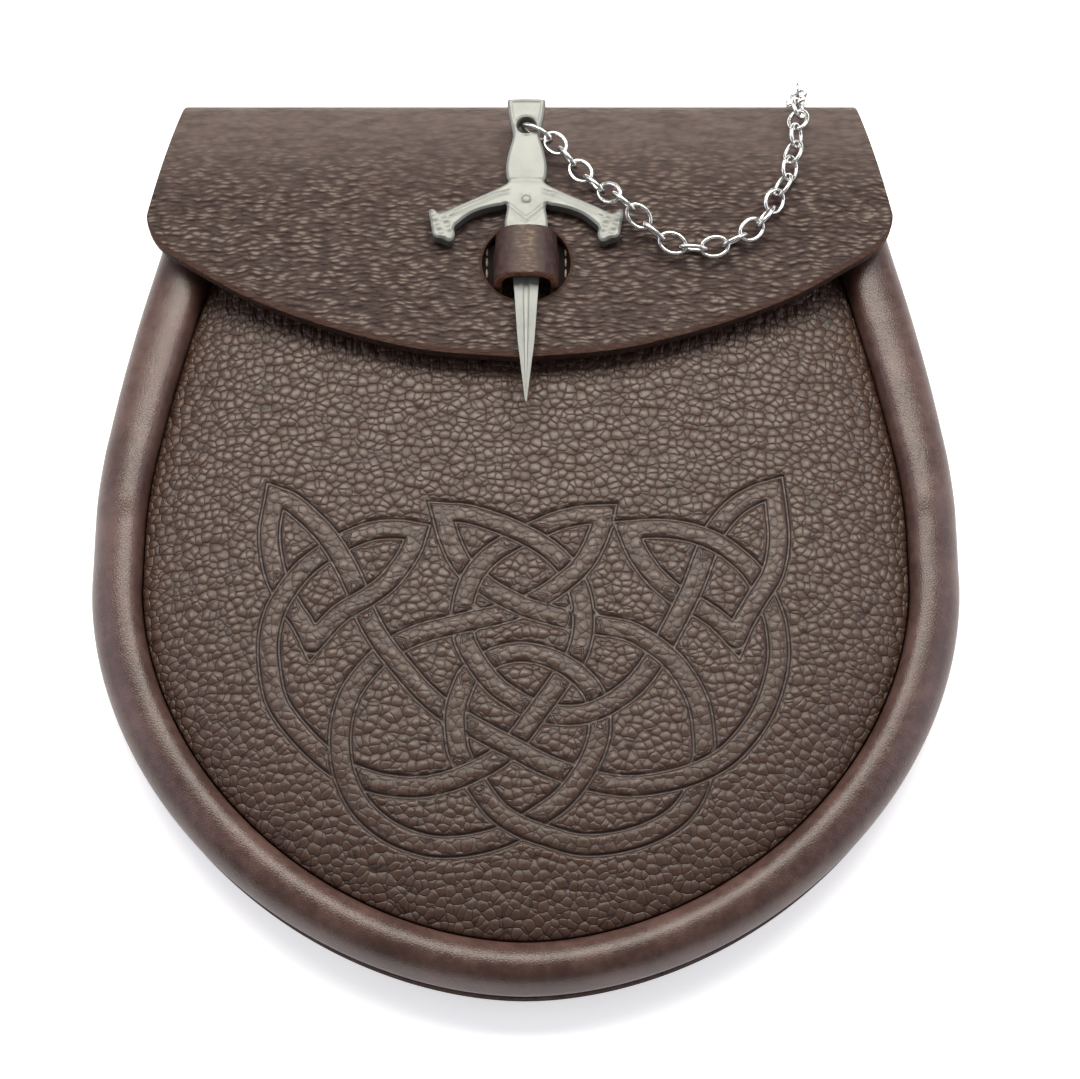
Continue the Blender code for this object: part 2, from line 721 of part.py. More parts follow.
def make_anchor(places, material, group, cutters):
    """The riveted plate on the fold's outer face, with the eye that holds the last link."""
    last, out, _ = places[-1]
    ahead = last - places[-2][0]
    ahead = (ahead - out * ahead.dot(out)).normalized()
    eye_middle = last + ahead * (LINK_LENGTH - LINK_WIRE) / 2
    angle = math.atan2(eye_middle.z - FOLD_Z, eye_middle.y - FOLD_Y)
    out = Vector((0, math.cos(angle), math.sin(angle)))
    foot = Vector((last.x, FOLD_Y, FOLD_Z)) + out * (FOLD_RADIUS + CLEARANCE)
    ahead = Vector((0, out.z, -out.y))
    frame = Matrix((ahead, out.cross(ahead), out)).transposed().to_4x4()

    work = bmesh.new()
    bmesh.ops.create_cone(
        work,
        cap_ends=True,
        segments=16,
        radius1=ANCHOR_PLATE / 2,
        radius2=ANCHOR_PLATE / 2 - ANCHOR_THICKNESS / 2,
        depth=ANCHOR_THICKNESS,
    )
    mesh = bpy.data.meshes.new("chain_anchor")
    work.to_mesh(mesh)
    work.free()
    anchor = new_object("chain_anchor", mesh, material, group)
    anchor.matrix_world = Matrix.Translation(foot + out * ANCHOR_THICKNESS / 2) @ frame

    eye = oval_ring("anchor_eye", ANCHOR_EYE, ANCHOR_EYE, ANCHOR_WIRE, 12, material, cutters)
    guide = new_object("anchor_eye", eye, None, cutters)
    guide.hide_render = True
    guide.display_type = "WIRE"
    middle = foot + out * (ANCHOR_THICKNESS + (ANCHOR_EYE - ANCHOR_WIRE) / 2 - ANCHOR_WIRE / 2)
    guide.matrix_world = Matrix.Translation(middle) @ frame @ Matrix.Rotation(math.pi / 2, 4, "X")
    combine(anchor, guide, "UNION")
    return anchor


for old in list(bpy.data.objects):
    bpy.data.objects.remove(old)

pouch = bpy.data.collections.new("sporran_pouch")
cutter_group = bpy.data.collections.new("cutters")
bpy.context.scene.collection.children.link(pouch)
bpy.context.scene.collection.children.link(cutter_group)

grained_leather = new_material("grained_leather", (0.075, 0.052, 0.045), 0.55, 0.0)
smooth_leather = new_material("smooth_leather", (0.090, 0.058, 0.050), 0.45, 0.0)
cast_metal = new_material("cast_metal", (0.80, 0.80, 0.78), 0.30, 1.0)
chain_metal = new_material("chain_metal", (0.85, 0.85, 0.85), 0.15, 1.0)

make_cover(grained_leather, pouch, cutter_group)
make_gusset(smooth_leather, pouch)
make_front_panel(grained_leather, pouch)
make_closure_loop(smooth_leather, pouch)
make_belt_loop(smooth_leather, pouch)
make_dirk_pin(cast_metal, pouch, cutter_group)
chain = make_chain(chain_metal, pouch, cutter_group)
make_anchor(chain, chain_metal, pouch, cutter_group)
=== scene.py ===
"""The looks of a leather sporran pouch, closed by a small dirk pin on a chain, lying on its back.

Lengths are in metres, in the frame of the solids: X across the pouch, Y up to the fold of its flap,
Z out of its front.
"""

import math
from collections import namedtuple

import bmesh
import bpy
import numpy as np
from mathutils import Matrix, Vector


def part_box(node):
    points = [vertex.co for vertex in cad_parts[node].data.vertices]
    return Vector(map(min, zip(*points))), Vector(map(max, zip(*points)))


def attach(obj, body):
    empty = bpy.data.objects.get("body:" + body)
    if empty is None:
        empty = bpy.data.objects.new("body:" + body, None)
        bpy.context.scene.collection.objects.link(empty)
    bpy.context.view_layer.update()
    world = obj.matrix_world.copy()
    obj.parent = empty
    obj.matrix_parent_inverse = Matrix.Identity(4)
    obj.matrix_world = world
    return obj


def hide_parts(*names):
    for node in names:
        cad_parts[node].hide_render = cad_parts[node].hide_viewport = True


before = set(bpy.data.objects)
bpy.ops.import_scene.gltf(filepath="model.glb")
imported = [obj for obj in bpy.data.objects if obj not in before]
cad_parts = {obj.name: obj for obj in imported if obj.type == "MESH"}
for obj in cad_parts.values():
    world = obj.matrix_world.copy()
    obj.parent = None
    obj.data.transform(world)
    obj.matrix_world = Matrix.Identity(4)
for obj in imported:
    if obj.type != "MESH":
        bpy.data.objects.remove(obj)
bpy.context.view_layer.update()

# The view, taken from the rounded end of the pouch and well above it, and the sweep of pale card
# that it lies on. Large soft lamps hang behind the fold and at both sides, so that the leather
# shines towards the camera and the pouch's shadow falls near its rounded end.
PHOTO_WIDTH = 1080
PHOTO_HEIGHT = 1079
CAMERA_ELEVATION = math.radians(64.0)
CAMERA_DISTANCE = 0.750
CAMERA_TARGET = Vector((0.0031, 0.0041, 0.010))
PHOTO_FOCUS = 3405
SENSOR_MM = 36.0
FLOOR_SIZE = 3.0
CARD_COLOUR = (0.93, 0.93, 0.95, 1)
CARD_GLOW = (0.97, 0.98, 1.0, 1)
CARD_GLOW_STRENGTH = 0.52
WARM_LIGHT = (1.0, 0.97, 0.88)
COOL_LIGHT = (0.86, 0.84, 1.0)
ROOM_LIGHT = (1.0, 0.97, 0.95, 1)
ROOM_STRENGTH = 0.28
SIDE_LAMP_X = 0.85

camera_back = Vector((0, -math.cos(CAMERA_ELEVATION), math.sin(CAMERA_ELEVATION)))
camera = bpy.data.objects.new("camera", bpy.data.cameras.new("camera"))
bpy.context.collection.objects.link(camera)
camera.data.sensor_width = SENSOR_MM
camera.data.lens = PHOTO_FOCUS / PHOTO_WIDTH * SENSOR_MM
camera.location = CAMERA_TARGET + camera_back * CAMERA_DISTANCE
camera.rotation_euler = camera_back.to_track_quat("Z", "Y").to_euler()
bpy.context.scene.camera = camera
bpy.context.scene.view_settings.view_transform = "Standard"


def keep(name, work):
    """An object of the mesh in a bmesh, smooth all over."""
    mesh = bpy.data.meshes.new(name)
    work.to_mesh(mesh)
    work.free()
    mesh.shade_smooth()
    item = bpy.data.objects.new(name, mesh)
    bpy.context.collection.objects.link(item)
    return item


def lamp(name, place, aim, size, power, tint):
    """A large soft lamp that shines from a place to another."""
    item = bpy.data.objects.new(name, bpy.data.lights.new(name, "AREA"))
    bpy.context.collection.objects.link(item)
    item.data.shape = "RECTANGLE"
    item.data.size, item.data.size_y = size
    item.data.energy = power
    item.data.color = tint
    item.location = place
    item.rotation_euler = (Vector(place) - Vector(aim)).to_track_quat("Z", "Y").to_euler()


floor_work = bmesh.new()
bmesh.ops.create_grid(floor_work, x_segments=1, y_segments=1, size=FLOOR_SIZE / 2)
floor = keep("floor", floor_work)
card = bpy.data.materials.new("pale_card")
card.use_nodes = True
card_shader = card.node_tree.nodes["Principled BSDF"].inputs
card_shader["Base Color"].default_value = CARD_COLOUR
card_shader["Roughness"].default_value = 0.9
card_shader["Emission Color"].default_value = CARD_GLOW
card_shader["Emission Strength"].default_value = CARD_GLOW_STRENGTH
floor.data.materials.append(card)

lamp("lamp_behind", (0.0, 0.55, 0.80), (0, 0.02, 0), (1.2, 0.50), 16.0, WARM_LIGHT)
for name, x in (("lamp_left", -SIDE_LAMP_X), ("lamp_right", SIDE_LAMP_X)):
    lamp(name, (x, 0.1, 0.40), (0, 0, 0), (0.7, 0.5), 2.2, COOL_LIGHT)
world = bpy.data.worlds.new("room")
bpy.context.scene.world = world
world.use_nodes = True
world.node_tree.nodes["Background"].inputs["Color"].default_value = ROOM_LIGHT
world.node_tree.nodes["Background"].inputs["Strength"].default_value = ROOM_STRENGTH

# The cover: one piece of thick pebbled cowhide that makes the flap, the fold over the top and the
# back of the pouch. It is cut raw and bent wet over a form, and a round hole is punched in the flap
# for the closure loop. Towards the fold the flap's face is smoother, and a greyer sheen is painted
# into its colour there.
POUCH_WIDTH = 0.190
WIDEST_Y = -0.006
LOWER_LENGTH = 0.0943
UPPER_LENGTH = 0.1225
LOWER_SQUARENESS = 1.88
COVER_LEATHER = 0.0023
BACK_INSET = 0.0015
FOLD_HEIGHT = 0.0132
FOLD_OVERHANG = 0.0022
FOLD_CORNER = 0.0015
FLAP_HEIGHT = 0.0225
FLAP_SLOPE = math.radians(24.0)
FLAP_LENGTH = 0.0735
FLAP_DROP = 0.0389
FLAP_OVERHANG = 0.0024
FLAP_DROOP = 0.0030
FLAP_SHIFT = -0.0015
CLOSURE_BELOW_FOLD = 0.0490
HOLE_RADIUS = 0.0100
BELT_STRIP_TOP = 0.0023
BELT_STRIP_BELOW_FOLD = 0.0868
LIFT_RUN = 0.018
COVER_COLUMNS = 190
FLAP_ROWS = 50
FOLD_ROWS = 60
BACK_ROWS = 34
LOWER_ROWS = 16
BARE_HOLE = 0.0008
BARE_REACH = 0.004
FOLD_SHEEN_FROM_Y = 0.084
FOLD_SHEEN_TO_Y = 0.112
CUT_ROUNDING = 0.0004

FOLD_TOP_Y = WIDEST_Y + UPPER_LENGTH
FOLD_RADIUS = FOLD_HEIGHT / 2
FOLD_Y = FOLD_TOP_Y - FOLD_RADIUS
FOLD_Z = BELT_STRIP_TOP + FOLD_RADIUS
FOLD_QUARTER = FOLD_RADIUS * math.pi / 2
FLAP_BEND = (FLAP_HEIGHT - FOLD_Z - FOLD_RADIUS * math.cos(FLAP_SLOPE)) / (1 - math.cos(FLAP_SLOPE))
FLAP_START = FOLD_RADIUS * (math.pi / 2 - FLAP_SLOPE)
JOIN_Y = FOLD_Y + FOLD_RADIUS * math.sin(FLAP_SLOPE)
FLAT_Y = JOIN_Y - FLAP_BEND * math.sin(FLAP_SLOPE)
CORNER_Y = FOLD_TOP_Y - FLAP_LENGTH + FLAP_DROP
CLOSURE_Y = FOLD_TOP_Y - CLOSURE_BELOW_FOLD

# Half width of the body above its widest level, as shares of the upper length and of half the width
Side = namedtuple("Side", "rise half_width")
SIDES = (
    Side(0.00, 1.000),
    Side(0.17, 0.998),
    Side(0.34, 0.970),
    Side(0.52, 0.927),
    Side(0.69, 0.877),
    Side(0.85, 0.832),
    Side(1.00, 0.790),
)

# Lower edge of the flap: the angle whose sine is the share of its half width, and a share of its drop
Edge = namedtuple("Edge", "angle drop")
FLAP_EDGE = (
    Edge(0.0, 1.000),
    Edge(15.0, 0.942),
    Edge(30.0, 0.790),
    Edge(45.0, 0.594),
    Edge(60.0, 0.375),
    Edge(75.0, 0.203),
    Edge(90.0, 0.000),
)


def clamp(value):
    """The value, kept between 0 and 1."""
    return max(0.0, min(1.0, value))


def ease(value):
    """A smooth step from 0 to 1."""
    share = clamp(value)
    return share * share * (3 - 2 * share)


def follow(rows, at):
    """The second column of a table where the first is at, on a smooth curve through the rows."""
    at = max(rows[0][0], min(rows[-1][0], at))
    slopes = []
    for i in range(len(rows)):
        low = rows[max(i - 1, 0)]
        high = rows[min(i + 1, len(rows) - 1)]
        slopes.append((high[1] - low[1]) / (high[0] - low[0]))
    i = min(sum(at >= row[0] for row in rows), len(rows) - 1) - 1
    step = rows[i + 1][0] - rows[i][0]
    t = (at - rows[i][0]) / step
    rise = rows[i][1] + (rows[i + 1][1] - rows[i][1]) * t * t * (3 - 2 * t)
    return rise + step * t * (1 - t) * (slopes[i] * (1 - t) - slopes[i + 1] * t)


def half_width(y):
    """Half the body's width at a level above its widest one."""
    return POUCH_WIDTH / 2 * follow(SIDES, (y - WIDEST_Y) / UPPER_LENGTH)


def lift(y):
    """How far the belt strip holds the back off the ground at y."""
    top = FOLD_TOP_Y - BELT_STRIP_BELOW_FOLD
    return BELT_STRIP_TOP * clamp(1 - (top - y) / LIFT_RUN)


def across(column):
    """Share of the half width at a column, and of the depth below the widest level."""
    angle = math.radians(90 * column)
    power = 2 / LOWER_SQUARENESS
    side = math.copysign(abs(math.sin(angle)) ** power, column)
    return side, abs(math.cos(angle)) ** power


def cover_profile(along):
    """Y and Z of the cover's outer face at a length along it.

    The length is 0 at the fold's outer line, above 0 on the flap and below 0 on the back.
    """
    if along < -FOLD_QUARTER:
        y = FOLD_Y + along + FOLD_QUARTER
        return Vector((y, lift(y)))
    if along < FLAP_START:
        angle = along / FOLD_RADIUS
        return Vector((FOLD_Y, FOLD_Z)) + Vector((math.cos(angle), math.sin(angle))) * FOLD_RADIUS
    slope = max(0.0, FLAP_SLOPE - (along - FLAP_START) / FLAP_BEND)
    out = Vector((math.sin(slope), math.cos(slope)))
    point = Vector((FLAT_Y, FLAP_HEIGHT - FLAP_BEND)) + out * FLAP_BEND
    point.x -= max(0.0, along - FLAP_START - FLAP_BEND * FLAP_SLOPE)
    return point


def flap_along(y):
    """The length along the cover at which the flap reaches y."""
    if y < FLAT_Y:
        return FLAP_START + FLAP_BEND * FLAP_SLOPE + FLAT_Y - y
    return FLAP_START + FLAP_BEND * (FLAP_SLOPE - math.asin((y - FLAT_Y) / FLAP_BEND))


def cover_half_width(along):
    """Half the cover's width at a length along it."""
    fold = half_width(FOLD_Y) + FOLD_OVERHANG - FOLD_CORNER
    if along <= 0:
        back = half_width(cover_profile(along).x) - BACK_INSET
        return back + (fold - back) * ease(1 + along / (FOLD_RADIUS * math.pi))
    if along < FLAP_START:
        return fold + FOLD_CORNER * along / FLAP_START
    join = fold + FOLD_CORNER
    corner = half_width(CORNER_Y) + FLAP_OVERHANG
    share = clamp((along - FLAP_START) / (flap_along(CORNER_Y) - FLAP_START))
    return join + (corner - join) * share


def cover_shift(along):
    """How far across the pouch the cover's middle lies at a length along it: the flap sits askew."""
    return FLAP_SHIFT * clamp(1 + along / (FOLD_RADIUS * math.pi))


def cover_point(x, along):
    """A point of the cover's outer face, at x and at a length along it."""
    point = cover_profile(along)
    side = clamp(abs(x - cover_shift(along)) / cover_half_width(along))
    reach = clamp((JOIN_Y - point.x) / (JOIN_Y - CORNER_Y)) if along > 0 else 0.0
    return Vector((x, point.x, point.y - FLAP_DROOP * side * side * reach))


class Finish:
    """A socket of a material's nodes. A sum written on it adds Math nodes to the material."""

    def __init__(self, tree, socket=None):
        self.tree = tree
        self.socket = socket

    def node(self, kind, settings, sockets, output=0):
        """A new node's output. Its settings come first, then the values or links of its sockets."""
        made = self.tree.nodes.new(kind)
        for name, value in settings.items():
            setattr(made, name, value)
        for name, value in sockets.items():
            if isinstance(value, Finish):
                self.tree.links.new(value.socket, made.inputs[name])
            else:
                made.inputs[name].default_value = value
        return Finish(self.tree, made.outputs[output])

    def math(self, operation, *values):
        """The result of a Math node."""
        return self.node("ShaderNodeMath", {"operation": operation}, dict(enumerate(values)))

    def __add__(self, other):
        return self.math("ADD", self, other)

    def __sub__(self, other):
        return self.math("SUBTRACT", self, other)

    def __rsub__(self, other):
        return self.math("SUBTRACT", other, self)

    def __mul__(self, other):
        return self.math("MULTIPLY", self, other)

    __radd__ = __add__
    __rmul__ = __mul__

    def between(self, low, high):
        """A smooth step, from 0 where the value is low to 1 where it is high."""
        sockets = {"Value": self, "From Min": low, "From Max": high}
        settings = {"interpolation_type": "SMOOTHSTEP"}
        return self.node("ShaderNodeMapRange", settings, sockets)

    def noise(self, size, detail=3.0):
        """Soft noise at these places, whose lumps have about the given size."""
        sockets = {"Vector": self, "Scale": 1 / size, "Detail": detail, "Roughness": 0.55}
        return self.node("ShaderNodeTexNoise", {}, sockets)

    def wander(self, scale, reach, base):
        """A base of places, moved about by noise read at these ones."""
        noise = {"Vector": self, "Scale": scale, "Detail": 2.0}
        drift = self.node("ShaderNodeTexNoise", {}, noise, output=1)
        settings = {"operation": "MULTIPLY_ADD"}
        return self.node("ShaderNodeVectorMath", settings, {0: drift, 1: reach, 2: base})

    def stretch(self, *scale):
        """These places, drawn out or pressed together on each axis."""
        return self.node("ShaderNodeMapping", {}, {"Vector": self, "Scale": scale})

    def unsigned(self):
        """The value without its sign."""
        return self.math("ABSOLUTE", self)

    def mix(self, first, second):
        """A colour between two, with this value as the share of the second."""
        return self.node("ShaderNodeMix", {"data_type": "RGBA"}, {0: self, 6: first, 7: second}, output=2)

    def mark(self, name):
        """A number that the mesh holds at each of its points."""
        return self.node("ShaderNodeAttribute", {"attribute_name": name}, {}, output=2)

    def into(self, socket):
        """Link the value to a socket of the shader."""
        self.tree.links.new(self.socket, socket)

    def raise_face(self, shader, strength, distance):
        """Shape the shaded face by this value, a height in shares of a distance."""
        sockets = {"Height": self, "Strength": strength, "Distance": distance}
        self.node("ShaderNodeBump", {}, sockets).into(shader["Normal"])


def start_finish(name, roughness, specular=0.5):
    """A new material, the sockets of its shader, and the places on its piece."""
    material = bpy.data.materials.new(name)
    material.use_nodes = True
    shader = material.node_tree.nodes["Principled BSDF"].inputs
    shader["Roughness"].default_value = roughness
    shader["Specular IOR Level"].default_value = specular
    place = Finish(material.node_tree).node("ShaderNodeTexCoord", {}, {}, output=3)
    return material, shader, place


def colour(red, green, blue):
    """A colour given as the 0 to 255 values of a screen, for a node's socket."""
    return (*(((v / 255 + 0.055) / 1.055) ** 2.4 for v in (red, green, blue)), 1.0)


def rippled_leather(name, length, height, dark, light, ridge_highlight, fold_sheen, raw):
    """Leather bent over a form, whose grain is drawn out across it into short shining ridges. They shine
    from a lower roughness and from a highlight painted on their crests; the valleys between them are
    painted darker as shade, and a greyer sheen is painted towards the fold.

    It is bare and fuzzy near the cut edge, from which the mesh's "from_cut" is the way in millimetres.
    """
    material, shader, place = start_finish(name, 0.6, 0.27)
    level = place.node("ShaderNodeSeparateXYZ", {}, {"Vector": place}, output=1)
    drawn = place.stretch(height / length, 1.0, 1.0)
    shifted = place.wander(160.0, (0.0, 0.0024, 0.0024), drawn)
    cells = {"Vector": shifted, "Scale": 1 / height, "Randomness": 0.9}
    away = place.node("ShaderNodeTexVoronoi", {"feature": "F1"}, cells)
    ripple = 1 - away * away * 2.4
    broad = drawn.noise(height * 2.2)
    patches = place.noise(0.009)
    near_fold = level.between(FOLD_SHEEN_FROM_Y, FOLD_SHEEN_TO_Y)
    shine = ripple.between(0.50, 0.95) * (patches.between(0.30, 0.60) * 0.6 + 0.3) * (1 - near_fold * 0.8)
    # Painted shade: the hide is darker in the valleys between the ridges.
    hide = (ripple.between(-0.2, 0.6) * 0.7 + broad.between(0.3, 0.7) * 0.3).mix(dark, light)
    # Painted highlight: the ridges' crests are mixed towards a light colour.
    hide = (shine * 0.16).mix(hide, ridge_highlight)
    # Painted sheen: towards the fold the hide is mixed towards a greyer colour.
    hide = (near_fold * (broad.between(0.30, 0.70) * 0.25 + 0.2)).mix(hide, fold_sheen)
    fuzz = place.noise(0.0009, 4.0)
    bare = 1 - (place.mark("from_cut") + fuzz * 1.1).between(1.80, 2.15)
    bare.mix(hide, raw).into(shader["Base Color"])
    (0.58 - shine * 0.30 + bare * 0.3).into(shader["Roughness"])
    relief = ripple * (1 - near_fold * 0.5) * 0.5 + broad * 0.9 + fuzz * bare * 0.8
    relief.raise_face(shader, 1.0, 0.00030)
    return material


def raw_leather(name, dark, light):
    """The cut edge or the flesh side of a hide, rough and fibrous."""
    material, shader, place = start_finish(name, 0.8, 0.25)
    fibres = place.noise(0.0006, 4.0)
    fuzz = place.noise(0.0025)
    (fibres * 0.6 + fuzz * 0.4).between(0.35, 0.65).mix(dark, light).into(shader["Base Color"])
    fibres.raise_face(shader, 0.8, 0.0004)
    return material


def placed_grid(columns, rows, place):
    """A bmesh of a grid whose points lie where a function of column and row puts them."""
    work = bmesh.new()
    bmesh.ops.create_grid(work, x_segments=columns, y_segments=rows, size=1.0)
    for vert in work.verts:
        column = round((vert.co.x + 1) / 2 * columns)
        row = round((vert.co.y + 1) / 2 * rows)
        vert.co = place(column, row)
    return work


def leather_wall(name, columns, rows, place, leather, materials):
    """A sheet of leather with a grain face, a flesh face and a raw edge. Materials are in that order."""
    work = placed_grid(columns, rows, place)
    bmesh.ops.remove_doubles(work, verts=work.verts, dist=0.00001)
    item = keep(name, work)
    for material in materials:
        item.data.materials.append(material)
    wall = item.modifiers.new("leather", "SOLIDIFY")
    wall.thickness = leather
    wall.offset = -1.0
    wall.use_even_offset = True
    wall.material_offset = 1
    wall.material_offset_rim = 2
    return item


def soften_edges(item, width):
    """Round off the cut edges of a leather wall."""
    edges = item.modifiers.new("cut_edges", "BEVEL")
    edges.width = width
    edges.segments = 2
    edges.limit_method = "ANGLE"
    edges.angle_limit = math.radians(50)
    edges.material = -1


fold_length = flap_along(CORNER_Y) + FOLD_QUARTER
cover_lengths = [flap_along(CORNER_Y) - fold_length * i / FOLD_ROWS for i in range(1, FOLD_ROWS + 1)]
cover_lengths += [-FOLD_QUARTER - (FOLD_Y - WIDEST_Y) * i / BACK_ROWS for i in range(1, BACK_ROWS + 1)]
cover_rows = FLAP_ROWS + len(cover_lengths) + LOWER_ROWS


def cover_place(column, row):
    """Where a column and a row of the cover's grid lie. Rows run from the flap's edge to the back's."""
    side, depth = across(2 * column / COVER_COLUMNS - 1)
    if row <= FLAP_ROWS:
        angle = math.degrees(math.asin(clamp(abs(side))))
        y = CORNER_Y - FLAP_DROP * follow(FLAP_EDGE, angle) * (1 - row / FLAP_ROWS)
        return cover_point(side * cover_half_width(flap_along(CORNER_Y)) + FLAP_SHIFT, flap_along(y))
    if row <= FLAP_ROWS + len(cover_lengths):
        along = cover_lengths[row - FLAP_ROWS - 1]
        return cover_point(side * cover_half_width(along) + cover_shift(along), along)
    share = (row - FLAP_ROWS - len(cover_lengths)) / LOWER_ROWS
    y = WIDEST_Y - (LOWER_LENGTH - BACK_INSET) * depth * share
    return Vector((side * (POUCH_WIDTH / 2 - BACK_INSET), y, lift(y)))


flap_leather = rippled_leather(
    "flap_leather",
    0.0027,
    0.0010,
    colour(41, 25, 21),
    colour(61, 42, 37),
    colour(170, 156, 134),
    colour(112, 101, 96),
    colour(60, 40, 32),
)
flesh_side = raw_leather("flesh_side", colour(74, 52, 44), colour(104, 76, 64))
flap_edge = raw_leather("flap_edge", colour(42, 27, 22), colour(70, 48, 40))
cover = leather_wall(
    "cover", COVER_COLUMNS, cover_rows, cover_place, COVER_LEATHER, (flap_leather, flesh_side, flap_edge)
)


def flap_edge_level(x):
    """The level of the flap's lower edge at a place across it."""
    side = clamp(abs(x - FLAP_SHIFT) / cover_half_width(flap_along(CORNER_Y)))
    return CORNER_Y - FLAP_DROP * follow(FLAP_EDGE, math.degrees(math.asin(side)))


def punch(item, middle, radius):
    """Cut a round hole through the flap: take out the faces inside it and draw the rest to a circle."""
    work = bmesh.new()
    work.from_mesh(item.data)
    near = [v for v in work.verts if (v.co - middle).xy.length < radius and v.co.z > FOLD_HEIGHT]
    bmesh.ops.delete(work, geom=near, context="VERTS")
    for vert in work.verts:
        offset = (vert.co - middle).xy
        if vert.is_boundary and offset.length < radius * 1.3 and vert.co.z > FOLD_HEIGHT:
            vert.co.xy = middle.xy + offset.normalized() * radius
    work.to_mesh(item.data)
    work.free()


punch(cover, Vector((0, CLOSURE_Y, FLAP_HEIGHT)), HOLE_RADIUS)
from_cut = cover.data.attributes.new("from_cut", "FLOAT", "POINT")
for mark, vert in zip(from_cut.data, cover.data.vertices):
    mark.value = BARE_REACH * 1000
    if vert.co.z > FOLD_HEIGHT:
        to_edge = vert.co.y - flap_edge_level(vert.co.x)
        to_hole = math.hypot(vert.co.x, vert.co.y - CLOSURE_Y) - HOLE_RADIUS + BARE_HOLE
        mark.value = min(to_edge, to_hole, BARE_REACH) * 1000
soften_edges(cover, CUT_ROUNDING)
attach(cover, "root")
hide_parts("cover")

# The rolled edge: a strip of smooth calf bent round a core and sewn between the front and the
# back. Along the sides its crest lies near the front seam, so that it slopes away to the outside.
GUSSET_LEATHER = 0.0018
ROLL_HEIGHT = 0.0126
ROLL_WIDTH = 0.0110
ROLL_WIDTH_TOP = 0.0132
ROLL_LENGTH_UP = 0.102
ROLL_LEAD = 0.004
ROLL_LEAN = 0.32
ROLL_LEAN_END = -0.08
ROLL_OPENS = math.radians(190.0)
ROLL_CLOSES = math.radians(-90.0)
FLANGE_WIDTH = 0.005
CLEARANCE = 0.0003
LOWER_SHARE = 0.6
ROLL_STEPS = 300
ROLL_AROUND = 42


def roll_half_width(y):
    """Half the width of the rolled edge at y."""
    share = ease((y - WIDEST_Y) / ROLL_LENGTH_UP)
    return (ROLL_WIDTH + (ROLL_WIDTH_TOP - ROLL_WIDTH) * share) / 2


def body_outline(turn):
    """A point of the body's outline, from -1 at the left top, through 0 at the rounded end, to 1."""
    if abs(turn) < LOWER_SHARE:
        side, depth = across(turn / LOWER_SHARE)
        return Vector((POUCH_WIDTH / 2 * side, WIDEST_Y - LOWER_LENGTH * depth, 0))
    share = (abs(turn) - LOWER_SHARE) / (1 - LOWER_SHARE)
    y = WIDEST_Y + ROLL_LENGTH_UP * share
    return Vector((math.copysign(half_width(y), turn), y, 0))


def body_outward(turn):
    """The direction out of the body at a point of its outline."""
    step = 0.004
    run = body_outline(min(turn + step, 1)) - body_outline(max(turn - step, -1))
    return Vector((run.y, -run.x, 0)).normalized()


def roll_point(turn, angle, inward=0.0):
    """A point of the roll's outer face, at an angle round it from the outside over the top."""
    rim = body_outline(turn)
    out = body_outward(turn)
    wide = roll_half_width(rim.y)
    high = (ROLL_HEIGHT - lift(rim.y)) / 2
    lean = ROLL_LEAN + (ROLL_LEAN_END - ROLL_LEAN) * max(0.0, -out.y) ** 2
    lean *= max(0.0, math.sin(angle)) ** 2
    point = rim + out * (wide * (math.cos(angle) - lean - 1) - inward)
    point.z = lift(point.y + ROLL_LEAD) + COVER_LEATHER + CLEARANCE + high * (1 + math.sin(angle))
    return point


def roll_place(column, row):
    """Where a column round the roll and a row along it lie, with the flange as the last column."""
    angle = ROLL_OPENS + (ROLL_CLOSES - ROLL_OPENS) * min(column, ROLL_AROUND - 1) / (ROLL_AROUND - 1)
    inward = FLANGE_WIDTH if column == ROLL_AROUND else 0.0
    return roll_point(2 * row / ROLL_STEPS - 1, angle, inward)


def smooth_leather(name, dark, light, crease, roughness):
    """Smooth calf: faint wrinkles, cloudy colour, and a finish that is a little uneven."""
    material, shader, place = start_finish(name, roughness)
    clouds = place.noise(0.012)
    mottle = place.noise(0.0022, 4.0)
    cells = {"Vector": place, "Scale": 1 / crease}
    pores = place.node("ShaderNodeTexVoronoi", {"feature": "DISTANCE_TO_EDGE"}, cells)
    (clouds * 0.6 + mottle * 0.4).between(0.35, 0.68).mix(dark, light).into(shader["Base Color"])
    (mottle * 0.18 + (roughness - 0.09)).into(shader["Roughness"])
    (pores.between(0.0, 0.25) * 0.35 + mottle * 0.65).raise_face(shader, 0.4, 0.00018)
    return material


roll_leather = smooth_leather("roll_leather", colour(62, 40, 35), colour(88, 64, 58), 0.0006, 0.34)
roll_edge = raw_leather("roll_edge", colour(60, 40, 34), colour(96, 66, 54))
gusset = leather_wall(
    "gusset", ROLL_AROUND, ROLL_STEPS, roll_place, GUSSET_LEATHER, (roll_leather, flesh_side, roll_edge)
)
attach(gusset, "root")
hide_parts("gusset")

# The front: pebbled cowhide pressed to a low dome over a form and sewn to the roll all round,
# open under the flap. A knot of one interlaced band is tooled into it while it is damp, by two
# grooves that stop where the band dives under itself.
PANEL_LEATHER = 0.0020
PANEL_LENGTH_UP = 0.097
PANEL_RIM_HEIGHT = 0.0102
PANEL_RISE = 0.0074
PANEL_FLATNESS = 3.0
PANEL_FULLNESS = 0.7
PANEL_COLUMNS = 80
PANEL_LOWER_ROWS = 44
PANEL_UPPER_ROWS = 46
KNOT_HEIGHT = 0.0173
KNOT_MARGIN = 0.0040
BAND_HALF = 0.00230
GROOVE_WIDTH = 0.00055
GROOVE_FLOOR = 0.00015
GROOVE_DEPTH = 0.00045
GROOVE_REACH = 0.0011
CREASE_LENGTH = 0.008
KNOT_REACH = 0.006
OVERRUN = 12
UNDERPASS = 16
NO_LENGTH = 1e-12

